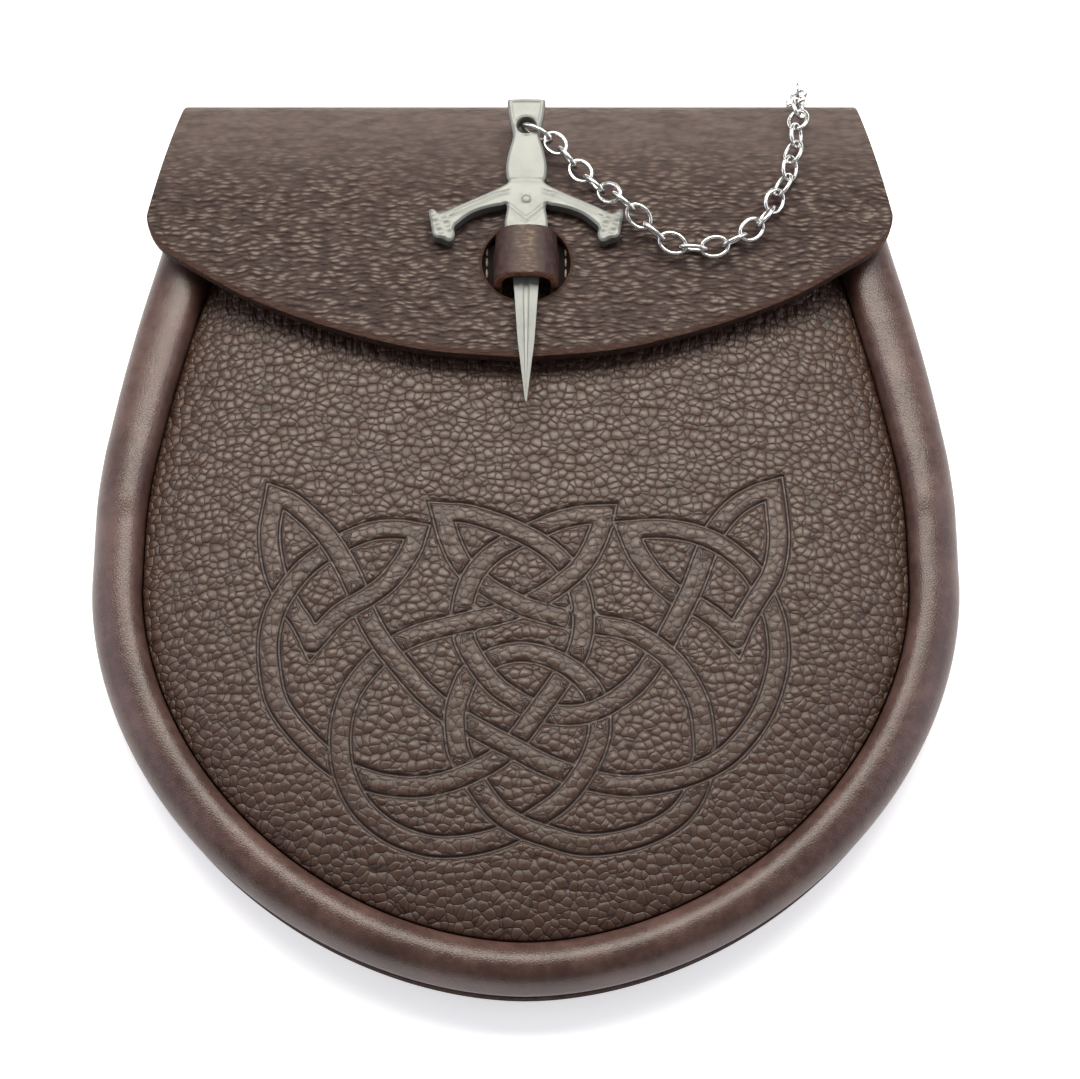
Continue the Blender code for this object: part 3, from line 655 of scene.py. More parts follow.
# Middle line of the band, at pixels of the photograph. It runs from point to point, and turns
# sharply at the first stop of each run.
KNOT_RUNS = (
    ((275, 493), (269, 527), (271, 554), (277, 577), (292, 606), (302, 621)),
    ((312, 641), (339, 613), (363, 599), (386, 583), (402, 564), (412, 547)),
    (
        (417, 532), (400, 529), (374, 530), (350, 538), (324, 552), (304, 567), (287, 587), (274, 610),
        (268, 637), (269, 664), (275, 694), (288, 716), (311, 742), (338, 764), (366, 776), (390, 782),
        (417, 784), (444, 780), (470, 771), (497, 757), (517, 738), (542, 705), (561, 679), (576, 656),
        (583, 632), (583, 610), (578, 588), (565, 565), (547, 548), (527, 536), (500, 524), (468, 514),
    ),
    (
        (442, 512), (450, 540), (463, 565), (486, 586), (506, 598), (525, 607), (547, 614), (572, 620),
        (599, 625), (627, 630), (649, 641), (670, 657), (687, 678), (699, 702), (704, 730), (704, 757),
        (696, 787), (678, 811), (649, 828), (614, 838), (579, 840), (547, 832), (521, 823), (497, 808),
        (478, 784), (461, 756), (456, 736), (455, 712), (461, 691), (471, 672), (493, 658), (518, 652),
        (545, 656), (572, 669), (589, 685), (597, 700), (600, 721), (597, 742), (585, 768), (565, 794),
        (542, 811), (511, 829), (483, 838), (454, 842), (425, 840), (390, 827), (362, 804), (346, 776),
        (340, 749), (341, 720), (352, 688), (377, 658), (400, 642), (428, 631), (470, 621), (508, 612),
        (538, 599), (562, 583), (580, 567), (592, 549), (601, 527),
    ),
    (
        (604, 514), (584, 515), (560, 520), (538, 529), (513, 541), (491, 555), (473, 576), (463, 606),
        (464, 637), (476, 661), (494, 684), (513, 698), (532, 708), (557, 714), (584, 713), (609, 703),
        (635, 684), (653, 661), (666, 639), (691, 590), (706, 551), (717, 527), (736, 505), (757, 492),
    ),
    ((774, 486), (777, 508), (779, 538), (773, 570), (757, 597), (744, 619)),
    ((736, 637), (718, 619), (698, 606), (676, 594), (655, 576), (641, 558), (634, 545)),
    (
        (628, 530), (659, 528), (691, 532), (720, 543), (742, 559), (755, 573), (769, 600), (777, 625),
        (778, 662), (763, 708), (733, 747), (699, 768), (662, 779), (627, 783), (595, 779), (567, 771),
        (541, 761), (514, 747), (490, 735), (468, 723), (444, 709), (422, 690), (401, 666), (382, 642),
        (366, 614), (356, 587), (343, 560), (326, 534), (307, 514), (289, 499),
    ),
)


def panel_half_width(y):
    """Half the front panel's width at a level above its widest one."""
    step = 0.001
    slope = (half_width(y + step) - half_width(y - step)) / (2 * step)
    return half_width(y) - (2 * roll_half_width(y) + CLEARANCE) * math.hypot(1, slope)


def panel_height(share):
    """Height of the panel's face at a share of the way from its middle to its rim."""
    return PANEL_RIM_HEIGHT + PANEL_RISE * (1 - clamp(share) ** PANEL_FLATNESS) ** PANEL_FULLNESS


def panel_place(column, row):
    """Where a column and a row of the front panel's grid lie. Rows run up from its rounded end."""
    place = 2 * column / PANEL_COLUMNS - 1
    side, depth = across(place)
    if row >= PANEL_LOWER_ROWS:
        y = WIDEST_Y + PANEL_LENGTH_UP * (row - PANEL_LOWER_ROWS) / PANEL_UPPER_ROWS
        return Vector((side * panel_half_width(y), y, panel_height(abs(side))))
    turn = LOWER_SHARE * place
    rim = body_outline(turn) - body_outward(turn) * (ROLL_WIDTH + CLEARANCE)
    share = math.cos(math.pi / 2 * row / PANEL_LOWER_ROWS)
    power = LOWER_SQUARENESS
    out = (abs(side) ** power + (depth * share) ** power) ** (1 / power)
    return Vector((rim.x, WIDEST_Y + (rim.y - WIDEST_Y) * share, panel_height(out)))


def photo_point(x, y, height):
    """The point at a height over the floor that the photograph shows at a pixel."""
    right = Vector((1, 0, 0))
    up = camera_back.cross(right)
    ray = right * (x - PHOTO_WIDTH / 2) - up * (y - PHOTO_HEIGHT / 2)
    ray = ray / PHOTO_FOCUS - camera_back
    return camera.location + ray * ((height - camera.location.z) / ray.z)


def curve_between(before, start, end, after, share):
    """Points at a share of the way from start to end, on a smooth curve through all four."""
    bend = 2 * before - 5 * start + 4 * end - after
    twist = 3 * start - before - 3 * end + after
    return 0.5 * (2 * start + (end - before) * share + bend * share ** 2 + twist * share ** 3)


def knot_lines(step=0.0005):
    """The runs of the band's middle line on the leather, as evenly spaced points."""
    shares = np.linspace(0, 1, 24, endpoint=False)[:, None]
    lines = []
    for i, run in enumerate(KNOT_RUNS):
        stops = run + KNOT_RUNS[(i + 1) % len(KNOT_RUNS)][:1]
        ends = np.array([photo_point(x, y, KNOT_HEIGHT).xy for x, y in stops])
        padded = np.vstack((2 * ends[0] - ends[1], ends, 2 * ends[-1] - ends[-2]))
        fours = zip(padded, padded[1:], padded[2:], padded[3:])
        curve = np.vstack([curve_between(*four, shares) for four in fours] + [ends[-1:]])
        length = np.concatenate(([0], np.cumsum(np.linalg.norm(np.diff(curve, axis=0), axis=1))))
        even = np.linspace(0, length[-1], int(length[-1] / step) + 2)
        lines.append(np.column_stack([np.interp(even, length, curve[:, k]) for k in (0, 1)]))
    return lines


def crossings(points):
    """Where a closed line of points crosses itself, as pairs of places along it."""
    runs = np.roll(points, -1, axis=0) - points
    found = []
    count = len(points)
    for i in range(count - 2):
        others = np.arange(i + 2, count if i else count - 1)
        gap = points[others] - points[i]
        cross = runs[i, 0] * runs[others, 1] - runs[i, 1] * runs[others, 0]
        cross[np.abs(cross) < NO_LENGTH] = NO_LENGTH
        t = (gap[:, 0] * runs[others, 1] - gap[:, 1] * runs[others, 0]) / cross
        u = (gap[:, 0] * runs[i, 1] - gap[:, 1] * runs[i, 0]) / cross
        for k in np.nonzero((t >= 0) & (t < 1) & (u >= 0) & (u < 1))[0]:
            found.append((i, int(others[k])))
    return found


def from_line(spots, line, corners=()):
    """Distance of each spot from a line, sharp round its corners, and the nearest place along it."""
    runs = np.diff(line, axis=0)
    gap = spots[:, None, :] - line[None, :-1, :]
    share = np.clip((gap * runs).sum(2) / (runs * runs).sum(1), 0, 1)
    away = np.linalg.norm(gap - share[:, :, None] * runs, axis=2)
    near = away.argmin(1)
    row = np.arange(len(spots))
    away = away[row, near]
    at = near + share[row, near]
    for corner in corners:
        outside = np.abs(at - corner) < 1e-6
        gap = spots[outside] - line[corner]
        sides = [runs[k] / np.linalg.norm(runs[k]) for k in (corner - 1, corner)]
        away[outside] = np.max([np.abs(gap[:, 0] * d[1] - gap[:, 1] * d[0]) for d in sides], axis=0)
    return away, at


def knot_edge(spots):
    """How far each spot lies outside the nearest edge of the band that isn't hidden by a crossing."""
    lines = knot_lines()
    corners = np.cumsum([0] + [len(line) - 1 for line in lines])[:-1]
    points = np.vstack([line[:-1] for line in lines])
    count = len(points)
    meets = crossings(points)
    partner = dict(meets) | {b: a for a, b in meets}
    places = sorted(partner)
    halfway = [(a + b) // 2 for a, b in zip(places, places[1:] + [places[0] + count])]
    edge = np.full(len(spots), 1.0)
    for i, place in enumerate(places):
        first = halfway[i - 1] - (count if i == 0 else 0)
        last = halfway[i]
        line = points[np.arange(first - OVERRUN, last + OVERRUN + 1) % count]
        laps = [corner + lap for corner in corners for lap in (-count, 0, count)]
        turns = [corner - first + OVERRUN for corner in laps if first < corner <= last]
        near = (spots > line.min(0) - KNOT_REACH) & (spots < line.max(0) + KNOT_REACH)
        chosen = np.nonzero(near.all(1))[0]
        away, at = from_line(spots[chosen], line, turns)
        shown = (at >= OVERRUN) & (at <= len(line) - 1 - OVERRUN)
        if i % 2 == 0:
            over = points[np.arange(partner[place] - UNDERPASS, partner[place] + UNDERPASS + 1) % count]
            shown &= from_line(spots[chosen], over)[0] > BAND_HALF
        chosen = chosen[shown]
        outside = away[shown] - BAND_HALF
        better = np.abs(outside) < np.abs(edge[chosen])
        edge[chosen[better]] = outside[better]
    return edge


def pebbled_leather(name, cell, depth, dark, light, groove_shade):
    """Leather whose grain is domed pebbles parted by narrow creases, with light and shade painted into
    its colour: the pebbles' tops lighter and the creases between them darker, a tooled groove's walls
    near black as painted shade, and the groove's floor lighter as a painted reflection.

    The mesh holds how far out of the knot's band it lies, in millimetres, and where it is creased.
    """
    material, shader, place = start_finish(name, 0.45, 0.42)
    shifted = place.wander(0.5 / cell, (cell * 0.8,) * 3, place)
    cells = {"Vector": shifted, "Scale": 1 / cell, "Randomness": 0.85}
    gap = place.node("ShaderNodeTexVoronoi", {"feature": "DISTANCE_TO_EDGE"}, cells)
    away = place.node("ShaderNodeTexVoronoi", {"feature": "F1"}, cells)
    dome = 1 - away * away * 2.6
    from_knot = place.mark("from_knot")
    from_groove = from_knot.unsigned()
    wall = from_groove.between(0.10, 0.24) * (1 - from_groove.between(0.36, 0.62))
    lit_groove_floor = 1 - from_groove.between(0.10, 0.24)
    soft = from_groove.between(0.35, 1.10) * (from_knot.between(-0.6, 0.3) * 0.45 + 0.55)
    fine = place.noise(cell * 0.28)
    patches = place.noise(0.030, 2.0)
    crease = place.stretch(1.0, 0.22, 0.22).noise(0.0016, 2.0).between(0.38, 0.60) * place.mark("creased")
    height = (dome * 0.85 + gap.between(0.0, 0.12) * 0.22) * soft + fine * 0.18 + crease * 1.6
    # Painted light and shade: the pebbles' tops and the wrinkles' ridges are painted lighter and the gaps
    # between the pebbles darker, while the fine noise and the patches add tone at random.
    lighter = gap.between(0.0, 0.10) * 0.7 + fine * 0.3 + patches * 0.2 + crease * 0.2
    # Painted reflection: the groove's floor is painted lighter.
    hide = (lighter.between(0.1, 1.1) + lit_groove_floor * 0.5).mix(dark, light)
    # Painted shade: the groove's walls are painted near black.
    wall.mix(hide, groove_shade).into(shader["Base Color"])
    (0.46 - dome.between(0.4, 1.0) * 0.16 + wall * 0.40).into(shader["Roughness"])
    height.raise_face(shader, 1.0, depth)
    return material


front_work = placed_grid(PANEL_COLUMNS, PANEL_LOWER_ROWS + PANEL_UPPER_ROWS, panel_place)
inner_work = front_work.copy()
for vert in inner_work.verts:
    vert.co -= vert.normal * PANEL_LEATHER
bmesh.ops.reverse_faces(inner_work, faces=inner_work.faces)
for face in inner_work.faces:
    face.material_index = 1


def split_front(is_near, cuts):
    """Split the front's edges whose both ends are near, and return how far its points are from the band."""
    front_work.verts.index_update()
    near = [edge for edge in front_work.edges if all(is_near(vert) for vert in edge.verts)]
    bmesh.ops.subdivide_edges(front_work, edges=near, cuts=cuts, use_grid_fill=True)
    return knot_edge(np.array([vert.co.xy for vert in front_work.verts]))


knot_points = np.vstack(knot_lines())
knot_low = knot_points.min(0) - KNOT_MARGIN
knot_high = knot_points.max(0) + KNOT_MARGIN
outside = split_front(lambda vert: all(a < c < b for a, c, b in zip(knot_low, vert.co.xy, knot_high)), 1)
outside = split_front(lambda vert: abs(outside[vert.index]) < GROOVE_REACH, 3)
groove = 1 - np.clip((np.abs(outside) - GROOVE_FLOOR) / (GROOVE_WIDTH - GROOVE_FLOOR), 0, 1)
for vert, deep in zip(front_work.verts, groove):
    vert.co.z -= GROOVE_DEPTH * deep
from_knot = front_work.verts.layers.float.new("from_knot")
creased = front_work.verts.layers.float.new("creased")
for vert, away in zip(front_work.verts, np.clip(outside * 1000, -4, 4)):
    vert[from_knot] = away
    vert[creased] = ease((vert.co.y - flap_edge_level(vert.co.x) + CREASE_LENGTH) / CREASE_LENGTH)
inner_mesh = bpy.data.meshes.new("front_inner")
inner_work.to_mesh(inner_mesh)
inner_work.free()
front_work.from_mesh(inner_mesh)
rims = [e for e in front_work.edges if e.is_boundary]
for face in bmesh.ops.bridge_loops(front_work, edges=rims)["faces"]:
    face.material_index = 2
front_panel = keep("front_panel", front_work)
front_leather = pebbled_leather(
    "front_leather", 0.0020, 0.00022, colour(38, 20, 15), colour(68, 48, 38), colour(24, 13, 10)
)
for material in (front_leather, flesh_side, flap_edge):
    front_panel.data.materials.append(material)
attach(front_panel, "root")
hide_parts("front_panel")

# The closure loop: a short strap of smooth calf whose feet are sewn to the front under the flap.
# It stands in an arch through the flap's hole, with raw cut edges, and the pin runs under it. Its
# crown is worn light where hands have pushed the pin through.
LOOP_LEATHER = 0.0018
LOOP_WIDTH = 0.0142
LOOP_LENGTH = 0.0126
LOOP_CROWN = 0.0062
LOOP_FOOT = 0.0065
LOOP_SQUARENESS = 2.6
LOOP_AROUND = 64
LOOP_STEPS = 8
LOOP_ALONG = 20
LOOP_FLARE = 0.05
LOOP_STITCH_OUT = 0.0018
LOOP_STITCHES = 4
THREAD_RADIUS = 0.00026

foot_height = panel_height(0) + CLEARANCE + LOOP_LEATHER


def loop_place(column, row):
    """Where a column round the arch and a row along the loop lie. Its feet are the outer columns."""
    share = row / LOOP_ALONG - 0.5
    y = CLOSURE_Y + LOOP_LENGTH * share
    half = LOOP_WIDTH / 2 * (1 - LOOP_FLARE * share)
    step = column - 2 * LOOP_STEPS
    side = -1 if step < LOOP_AROUND / 2 else 1
    past = max(-step, step - LOOP_AROUND)
    if past > LOOP_STEPS:
        return Vector((side * (half + LOOP_FOOT * (past - LOOP_STEPS) / LOOP_STEPS), y, foot_height))
    if past > 0:
        height = FLAP_HEIGHT + (foot_height - FLAP_HEIGHT) * past / LOOP_STEPS
        return Vector((side * half, y, height))
    angle = math.pi * step / LOOP_AROUND
    power = 2 / LOOP_SQUARENESS
    x = -math.copysign(half * abs(math.cos(angle)) ** power, math.cos(angle))
    return Vector((x, y, FLAP_HEIGHT + LOOP_CROWN * abs(math.sin(angle)) ** power))


def worn_leather(name, dark, light, lighter, shaded):
    """Smooth calf with a light streak of short cracks along its middle, and dark feet beside it."""
    material, shader, place = start_finish(name, 0.5, 0.25)
    from_middle = place.node("ShaderNodeSeparateXYZ", {}, {"Vector": place}).unsigned()
    middle = 1 - from_middle.between(0.0004, 0.0034)
    cracks = place.stretch(0.3, 1.0, 1.0).noise(0.0007).between(0.45, 0.70)
    mottle = place.noise(0.0016, 4.0)
    shade = from_middle.between(LOOP_WIDTH / 2, LOOP_WIDTH / 2 + 0.0004)
    hide = shade.mix(mottle.between(0.35, 0.68).mix(dark, light), shaded)
    ((cracks * 0.8 + 0.10) * middle).mix(hide, lighter).into(shader["Base Color"])
    (mottle * 0.16 + 0.42 + shade * 0.4).into(shader["Roughness"])
    (mottle * 0.6 + cracks * middle * 0.4).raise_face(shader, 0.5, 0.0002)
    return material


def add_stitches(work, middle, count, pitch, length):
    """Add a row of stitches of waxed thread along Y, short rounded bars centred on a middle."""
    turn = Vector((0, 1, 0)).to_track_quat("X", "Z").to_matrix().to_4x4()
    shape = Matrix.Diagonal((length / 2, THREAD_RADIUS, THREAD_RADIUS, 1))
    for i in range(count):
        place = Matrix.Translation(middle + Vector((0, (i - (count - 1) / 2) * pitch, 0)))
        bmesh.ops.create_uvsphere(work, u_segments=10, v_segments=6, radius=1.0, matrix=place @ turn @ shape)


def thread(name, dark, light):
    """Waxed linen thread, twisted from fine strands."""
    material, shader, place = start_finish(name, 0.55, 0.4)
    strands = place.noise(0.0002, 2.0)
    strands.between(0.3, 0.7).mix(dark, light).into(shader["Base Color"])
    strands.raise_face(shader, 0.6, 0.0001)
    return material


loop_leather = worn_leather(
    "loop_leather", colour(46, 31, 29), colour(67, 48, 46), colour(126, 106, 86), colour(22, 13, 11)
)
loop_edge = raw_leather("loop_edge", colour(92, 58, 44), colour(146, 100, 78))
closure_loop = leather_wall(
    "closure_loop",
    LOOP_AROUND + 4 * LOOP_STEPS,
    LOOP_ALONG,
    loop_place,
    LOOP_LEATHER,
    (loop_leather, flesh_side, loop_edge),
)
soften_edges(closure_loop, 0.0003)
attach(closure_loop, "root")
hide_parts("closure_loop")

loop_thread = thread("loop_thread", colour(120, 108, 98), colour(178, 166, 152))
stitch_work = bmesh.new()
stitch_pitch = LOOP_LENGTH / (LOOP_STITCHES + 0.4)
for x in (-LOOP_WIDTH / 2 - LOOP_STITCH_OUT, LOOP_WIDTH / 2 + LOOP_STITCH_OUT):
    middle = Vector((x, CLOSURE_Y, foot_height + THREAD_RADIUS / 3))
    add_stitches(stitch_work, middle, LOOP_STITCHES, stitch_pitch, stitch_pitch * 0.84)
loop_stitches = keep("closure_loop_stitches", stitch_work)
loop_stitches.data.materials.append(loop_thread)
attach(loop_stitches, "root")

# The belt strip: a plain strap of the same calf, sewn to the back at both ends by a double row of
# stitches, so that a belt passes between it and the back. The pouch lies on it.
STRIP_WIDTH = 0.120
STRIP_HEIGHT = 0.025
STRIP_LEATHER = 0.0020
STRIP_BELOW_FOLD = 0.0740
STRIP_CORNER = 0.004
STRIP_ROW = 0.0050
STRIP_ROW_GAP = 0.0040
STRIP_STITCHES = 6
STRIP_EDGE = 0.0004

strip_y = FOLD_TOP_Y - STRIP_BELOW_FOLD


def round_off(work, edges, width, steps):
    """Round off some edges of a bmesh."""
    bmesh.ops.bevel(
        work, geom=edges, offset=width, segments=steps, profile=0.5, affect="EDGES", material=-1
    )


strip_work = bmesh.new()
bmesh.ops.create_cube(strip_work, size=1.0)
bmesh.ops.scale(strip_work, verts=strip_work.verts, vec=(STRIP_WIDTH, STRIP_HEIGHT, STRIP_LEATHER))
bmesh.ops.translate(strip_work, verts=strip_work.verts, vec=(0, strip_y, STRIP_LEATHER / 2))
round_off(strip_work, [e for e in strip_work.edges if e.calc_length() < STRIP_LEATHER * 2], STRIP_CORNER, 8)
flat = [f for f in strip_work.faces if abs(f.normal.z) > 0.9]
for face in strip_work.faces:
    face.material_index = 0 if face in flat else 1
round_off(strip_work, [e for face in flat for e in face.edges], STRIP_EDGE, 3)
belt_strip = keep("belt_loop", strip_work)
belt_strip.data.materials.append(roll_leather)
belt_strip.data.materials.append(roll_edge)
belt_strip.data.set_sharp_from_angle(angle=math.radians(40))
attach(belt_strip, "root")
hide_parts("belt_loop")

strip_thread = thread("strip_thread", colour(58, 44, 38), colour(96, 78, 68))
strip_stitch_work = bmesh.new()
strip_pitch = (STRIP_HEIGHT - 2 * STRIP_CORNER) / STRIP_STITCHES
for side in (-1, 1):
    for row in (STRIP_ROW, STRIP_ROW + STRIP_ROW_GAP):
        middle = Vector((side * (STRIP_WIDTH / 2 - row), strip_y, THREAD_RADIUS / 2))
        add_stitches(strip_stitch_work, middle, STRIP_STITCHES, strip_pitch, strip_pitch * 0.8)
strip_stitches = keep("belt_loop_stitches", strip_stitch_work)
strip_stitches.data.materials.append(strip_thread)
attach(strip_stitches, "root")

# The dirk pin: one casting of white metal, tumbled to a satin face and left rough at its sides. The
# pommel's face is sunk inside a rim, the guard has two grooves and a stud, and a hole is drilled
# through the pommel for the chain's ring.
GUARD_BELOW_FOLD = 0.0353
GUARD_WIDTH = 0.0438
GUARD_DROP = 0.010
HILT_LENGTH = 0.028
GRIP_WIDTH = 0.0092
PIN_THICKNESS = 0.0028
HOLE_UP = 0.0208
PIN_HOLE = 0.00205
SHOULDER_START = 0.0006
SHOULDER_LENGTH = 0.0070
SHOULDER_WIDTH = 0.0086
BLADE_LENGTH = 0.0502
BLADE_THICKNESS = 0.0024
BLADE_RIDGE = 0.30
BLADE_FLOOR = 0.14
BLADE_GROOVE = 0.00030
BLADE_RIM = 0.62
PIN_CELL = 0.00022
EDGE_DROP = 0.0004
EDGE_WIDTH = 0.0005
POMMEL_LOW = 0.0180
POMMEL_SINK = 0.00020
POMMEL_RIM = 0.0006
GRIP_CROWN = 0.00030
COLLAR_RISE = 0.00012
COLLAR_WIDTH = 0.0007
HOLE_LIP = 0.00022
ARM_FROM = 0.0030
ARM_TO = 0.0180
ARM_TOP = 0.0055
ARM_GROOVES = (0.0011, 0.0019)
ARM_GROOVE_DEPTH = 0.00015
STUD_UP = 0.0010
STUD_RADIUS = 0.00105
STUD_RISE = 0.0003
VEE_TOP = -0.0008
VEE_LOW = -0.0048
GRIP_LOW = 0.0068
PIN_GROOVE = 0.00022
VEE_DEPTH = 0.00022
VEE_ECHO_DEPTH = 0.00012
CURL_DEPTH = 0.00016
CURL_PITCH = (0.00042, 0.00075)

# Right half of the hilt, as shares of half the grip's width and of the hilt's length
HILT = (
    (0.80, 1.000), (0.91, 0.950), (0.87, 0.870), (0.74, 0.743), (0.66, 0.646),
    (0.81, 0.536), (0.94, 0.440), (1.00, 0.346), (0.96, 0.257), (0.90, 0.200),
)

# Right arm of the guard, as shares of half the guard's width and of its drop
ARM = (
    (0.330, 0.360), (0.590, 0.070), (0.790, -0.150), (0.890, -0.260), (0.955, -0.150), (1.000, -0.210),
    (0.980, -0.520), (0.950, -0.840), (0.860, -0.920), (0.775, -0.990), (0.735, -0.820), (0.745, -0.630),
    (0.690, -0.480), (0.590, -0.290), (0.480, -0.165), (0.370, -0.090), (0.260, -0.040),
)

# Blade, as shares of its length, of the shoulder's width and of the blade's thickness
BLADE = ((0.11, 0.96, 1.00), (0.44, 0.62, 1.00), (0.70, 0.43, 0.75), (1.00, 0.04, 0.12))

guard_y = FOLD_TOP_Y - GUARD_BELOW_FOLD
pin_z = FLAP_HEIGHT + CLEARANCE + PIN_THICKNESS / 2


def rounded_line(points, steps):
    """A closed line through some points, softened between them as a worn casting is."""
    points = np.array(points)
    four = [np.roll(points, k, axis=0) for k in (1, 0, -1, -2)]
    curves = [curve_between(*four, share) for share in np.linspace(0, 1, steps, endpoint=False)]
    return np.stack(curves, axis=1).reshape(-1, 2)


def inside_line(spots, line):
    """Whether each spot lies inside a closed line."""
    ahead = np.roll(line, -1, axis=0)
    spans = (line[None, :, 1] > spots[:, None, 1]) != (ahead[None, :, 1] > spots[:, None, 1])
    rise = ahead[:, 1] - line[:, 1]
    rise[rise == 0] = NO_LENGTH
    meets = line[:, 0] + (ahead[:, 0] - line[:, 0]) / rise * (spots[:, None, 1] - line[:, 1])
    return (spans & (spots[:, None, 0] < meets)).sum(1) % 2 == 1


def band(value, middle, width):
    """1 at the middle of a band of values, and 0 away from it."""
    return np.exp(-(((value - middle) / width) ** 2))


def smooth(value, low, high):
    """A smooth step from 0 at low to 1 at high."""
    share = np.clip((value - low) / (high - low), 0, 1)
    return share * share * (3 - 2 * share)


def pin_face(spots, rim, hole):
    """Height of the pin's face over its middle, from a spot's place and its way in from the rim."""
    x = np.abs(spots[:, 0])
    up = spots[:, 1]
    height = PIN_THICKNESS / 2 - EDGE_DROP * (1 - smooth(rim, 0, EDGE_WIDTH))
    grip = smooth(up, GRIP_LOW - 0.0008, GRIP_LOW) * (1 - smooth(up, POMMEL_LOW - 0.0010, POMMEL_LOW))
    pommel = smooth(up, POMMEL_LOW, POMMEL_LOW + 0.0010)
    height -= POMMEL_SINK * smooth(rim, POMMEL_RIM, POMMEL_RIM * 2) * pommel
    height -= GRIP_CROWN * grip * (x / (GRIP_WIDTH / 2)) ** 2
    height += COLLAR_RISE * band(up, GRIP_LOW - COLLAR_WIDTH, COLLAR_WIDTH) * (x < GRIP_WIDTH * 0.55)
    height += HOLE_LIP * band(hole, 0.0004, 0.0003) - EDGE_DROP * (1 - smooth(hole, 0, 0.0003))
    upper = np.array([(a * GUARD_WIDTH / 2, b * GUARD_DROP) for a, b in ((0.10, 0.50),) + ARM[:4]])
    below, _ = from_line(np.column_stack((x, up)), upper)
    arm = smooth(x, ARM_FROM, ARM_FROM + 0.0012) * (1 - smooth(x, ARM_TO - 0.0008, ARM_TO)) * (up < ARM_TOP)
    for line in ARM_GROOVES:
        height -= ARM_GROOVE_DEPTH * arm * band(below, line, PIN_GROOVE)
    away = np.hypot(x, up - STUD_UP)
    height += STUD_RISE * np.sqrt(np.clip(1 - (away / STUD_RADIUS) ** 2, 0, 1))
    height -= STUD_RISE / 3 * band(away, STUD_RADIUS * 1.4, 0.0003) * (x > 0.0006)
    vee = np.array([(SHOULDER_WIDTH / 2, VEE_TOP), (0, VEE_LOW)])
    cut, _ = from_line(np.column_stack((x, up)), vee)
    height -= VEE_DEPTH * band(cut, 0, PIN_GROOVE * 1.2)
    height -= VEE_ECHO_DEPTH * band(cut, 0.0007, PIN_GROOVE) * (up > VEE_LOW)
    tip = smooth(x, ARM_TO - 0.0020, ARM_TO - 0.0008) * (up < -0.0010)
    curls = np.sin((x * 0.35 + up) / CURL_PITCH[0]) * np.sin((up * 0.4 - x) / CURL_PITCH[1])
    return height + CURL_DEPTH * tip * curls


pin_ring = [(x * GRIP_WIDTH / 2, y * HILT_LENGTH) for x, y in HILT]
pin_ring += [(x * GUARD_WIDTH / 2, y * GUARD_DROP) for x, y in ARM]
pin_ring += [(SHOULDER_WIDTH / 2, -SHOULDER_START), (SHOULDER_WIDTH / 2, -SHOULDER_LENGTH)]
pin_ring = rounded_line(pin_ring + [(-x, y) for x, y in reversed(pin_ring)], 5)
pin_closed = np.vstack((pin_ring, pin_ring[:1]))
pin_work = bmesh.new()
across_cells = int(GUARD_WIDTH / PIN_CELL) + 4
up_cells = int((HILT_LENGTH + GUARD_DROP) / PIN_CELL) + 6
bmesh.ops.create_grid(pin_work, x_segments=across_cells, y_segments=up_cells, size=1.0)
half_grid = Vector((across_cells * PIN_CELL / 2, up_cells * PIN_CELL / 2, 1))
bmesh.ops.scale(pin_work, verts=pin_work.verts, vec=half_grid)
bmesh.ops.translate(pin_work, verts=pin_work.verts, vec=(0, (HILT_LENGTH - GUARD_DROP) / 2, 0))


def pin_places():
    """Each vertex's place, its way in from the outline, and its way out from the hole."""
    spots = np.array([v.co.xy for v in pin_work.verts])
    chunks = np.array_split(spots, 24)
    rim, at = (np.concatenate(found) for found in zip(*(from_line(c, pin_closed) for c in chunks)))
    rim[~np.concatenate([inside_line(c, pin_ring) for c in chunks])] *= -1
    hole = np.hypot(spots[:, 0], spots[:, 1] - HOLE_UP) - PIN_HOLE
    return spots, rim, at, hole


spots, rim, at, hole = pin_places()
waste = [v for v, r, h in zip(pin_work.verts, rim, hole) if min(r, h) < -0.45 * PIN_CELL]
bmesh.ops.delete(pin_work, geom=waste, context="VERTS")
bmesh.ops.delete(pin_work, geom=[v for v in pin_work.verts if not v.link_faces], context="VERTS")
spots, rim, at, hole = pin_places()
for vert, r, place, h in zip(pin_work.verts, rim, at, hole):
    if vert.is_boundary and h < abs(r):
        offset = Vector((vert.co.x, vert.co.y - HOLE_UP))
        vert.co.xy = Vector((0, HOLE_UP)) + offset.normalized() * PIN_HOLE
    elif vert.is_boundary:
        i = min(int(place), len(pin_ring) - 1)
        vert.co.xy = pin_closed[i] + (pin_closed[i + 1] - pin_closed[i]) * (place - i)
spots, rim, at, hole = pin_places()
for vert, height in zip(pin_work.verts, pin_face(spots, np.maximum(rim, 0), np.maximum(hole, 0))):
    vert.co.z = height
made = bmesh.ops.extrude_face_region(pin_work, geom=pin_work.faces[:])
tops = {part for part in made["geom"] if isinstance(part, bmesh.types.BMVert)}
for vert in pin_work.verts:
    if vert not in tops:
        vert.co.z = -PIN_THICKNESS / 2

made = bmesh.ops.create_circle(pin_work, cap_ends=True, segments=8, radius=1.0)
end = list({face for vert in made["verts"] for face in vert.link_faces})
end_verts = end[0].verts[:]


def place_blade(verts, row):
    """Put the corners of a blade section at their places. Its face has a shallow groove."""
    along, width, thickness = row
    edge_x = width * SHOULDER_WIDTH / 2
    high = thickness * BLADE_THICKNESS / 2
    sunk = high - BLADE_GROOVE * thickness
    rim = high * BLADE_RIM
    half = ((1.0, rim), (BLADE_RIDGE, high), (BLADE_FLOOR, sunk))
    corners = half + tuple((-x, z) for x, z in reversed(half)) + ((-1.0, -rim), (1.0, -rim))
    for vert, (x, z) in zip(verts, corners):
        vert.co = Vector((x * edge_x, -along * BLADE_LENGTH, z))


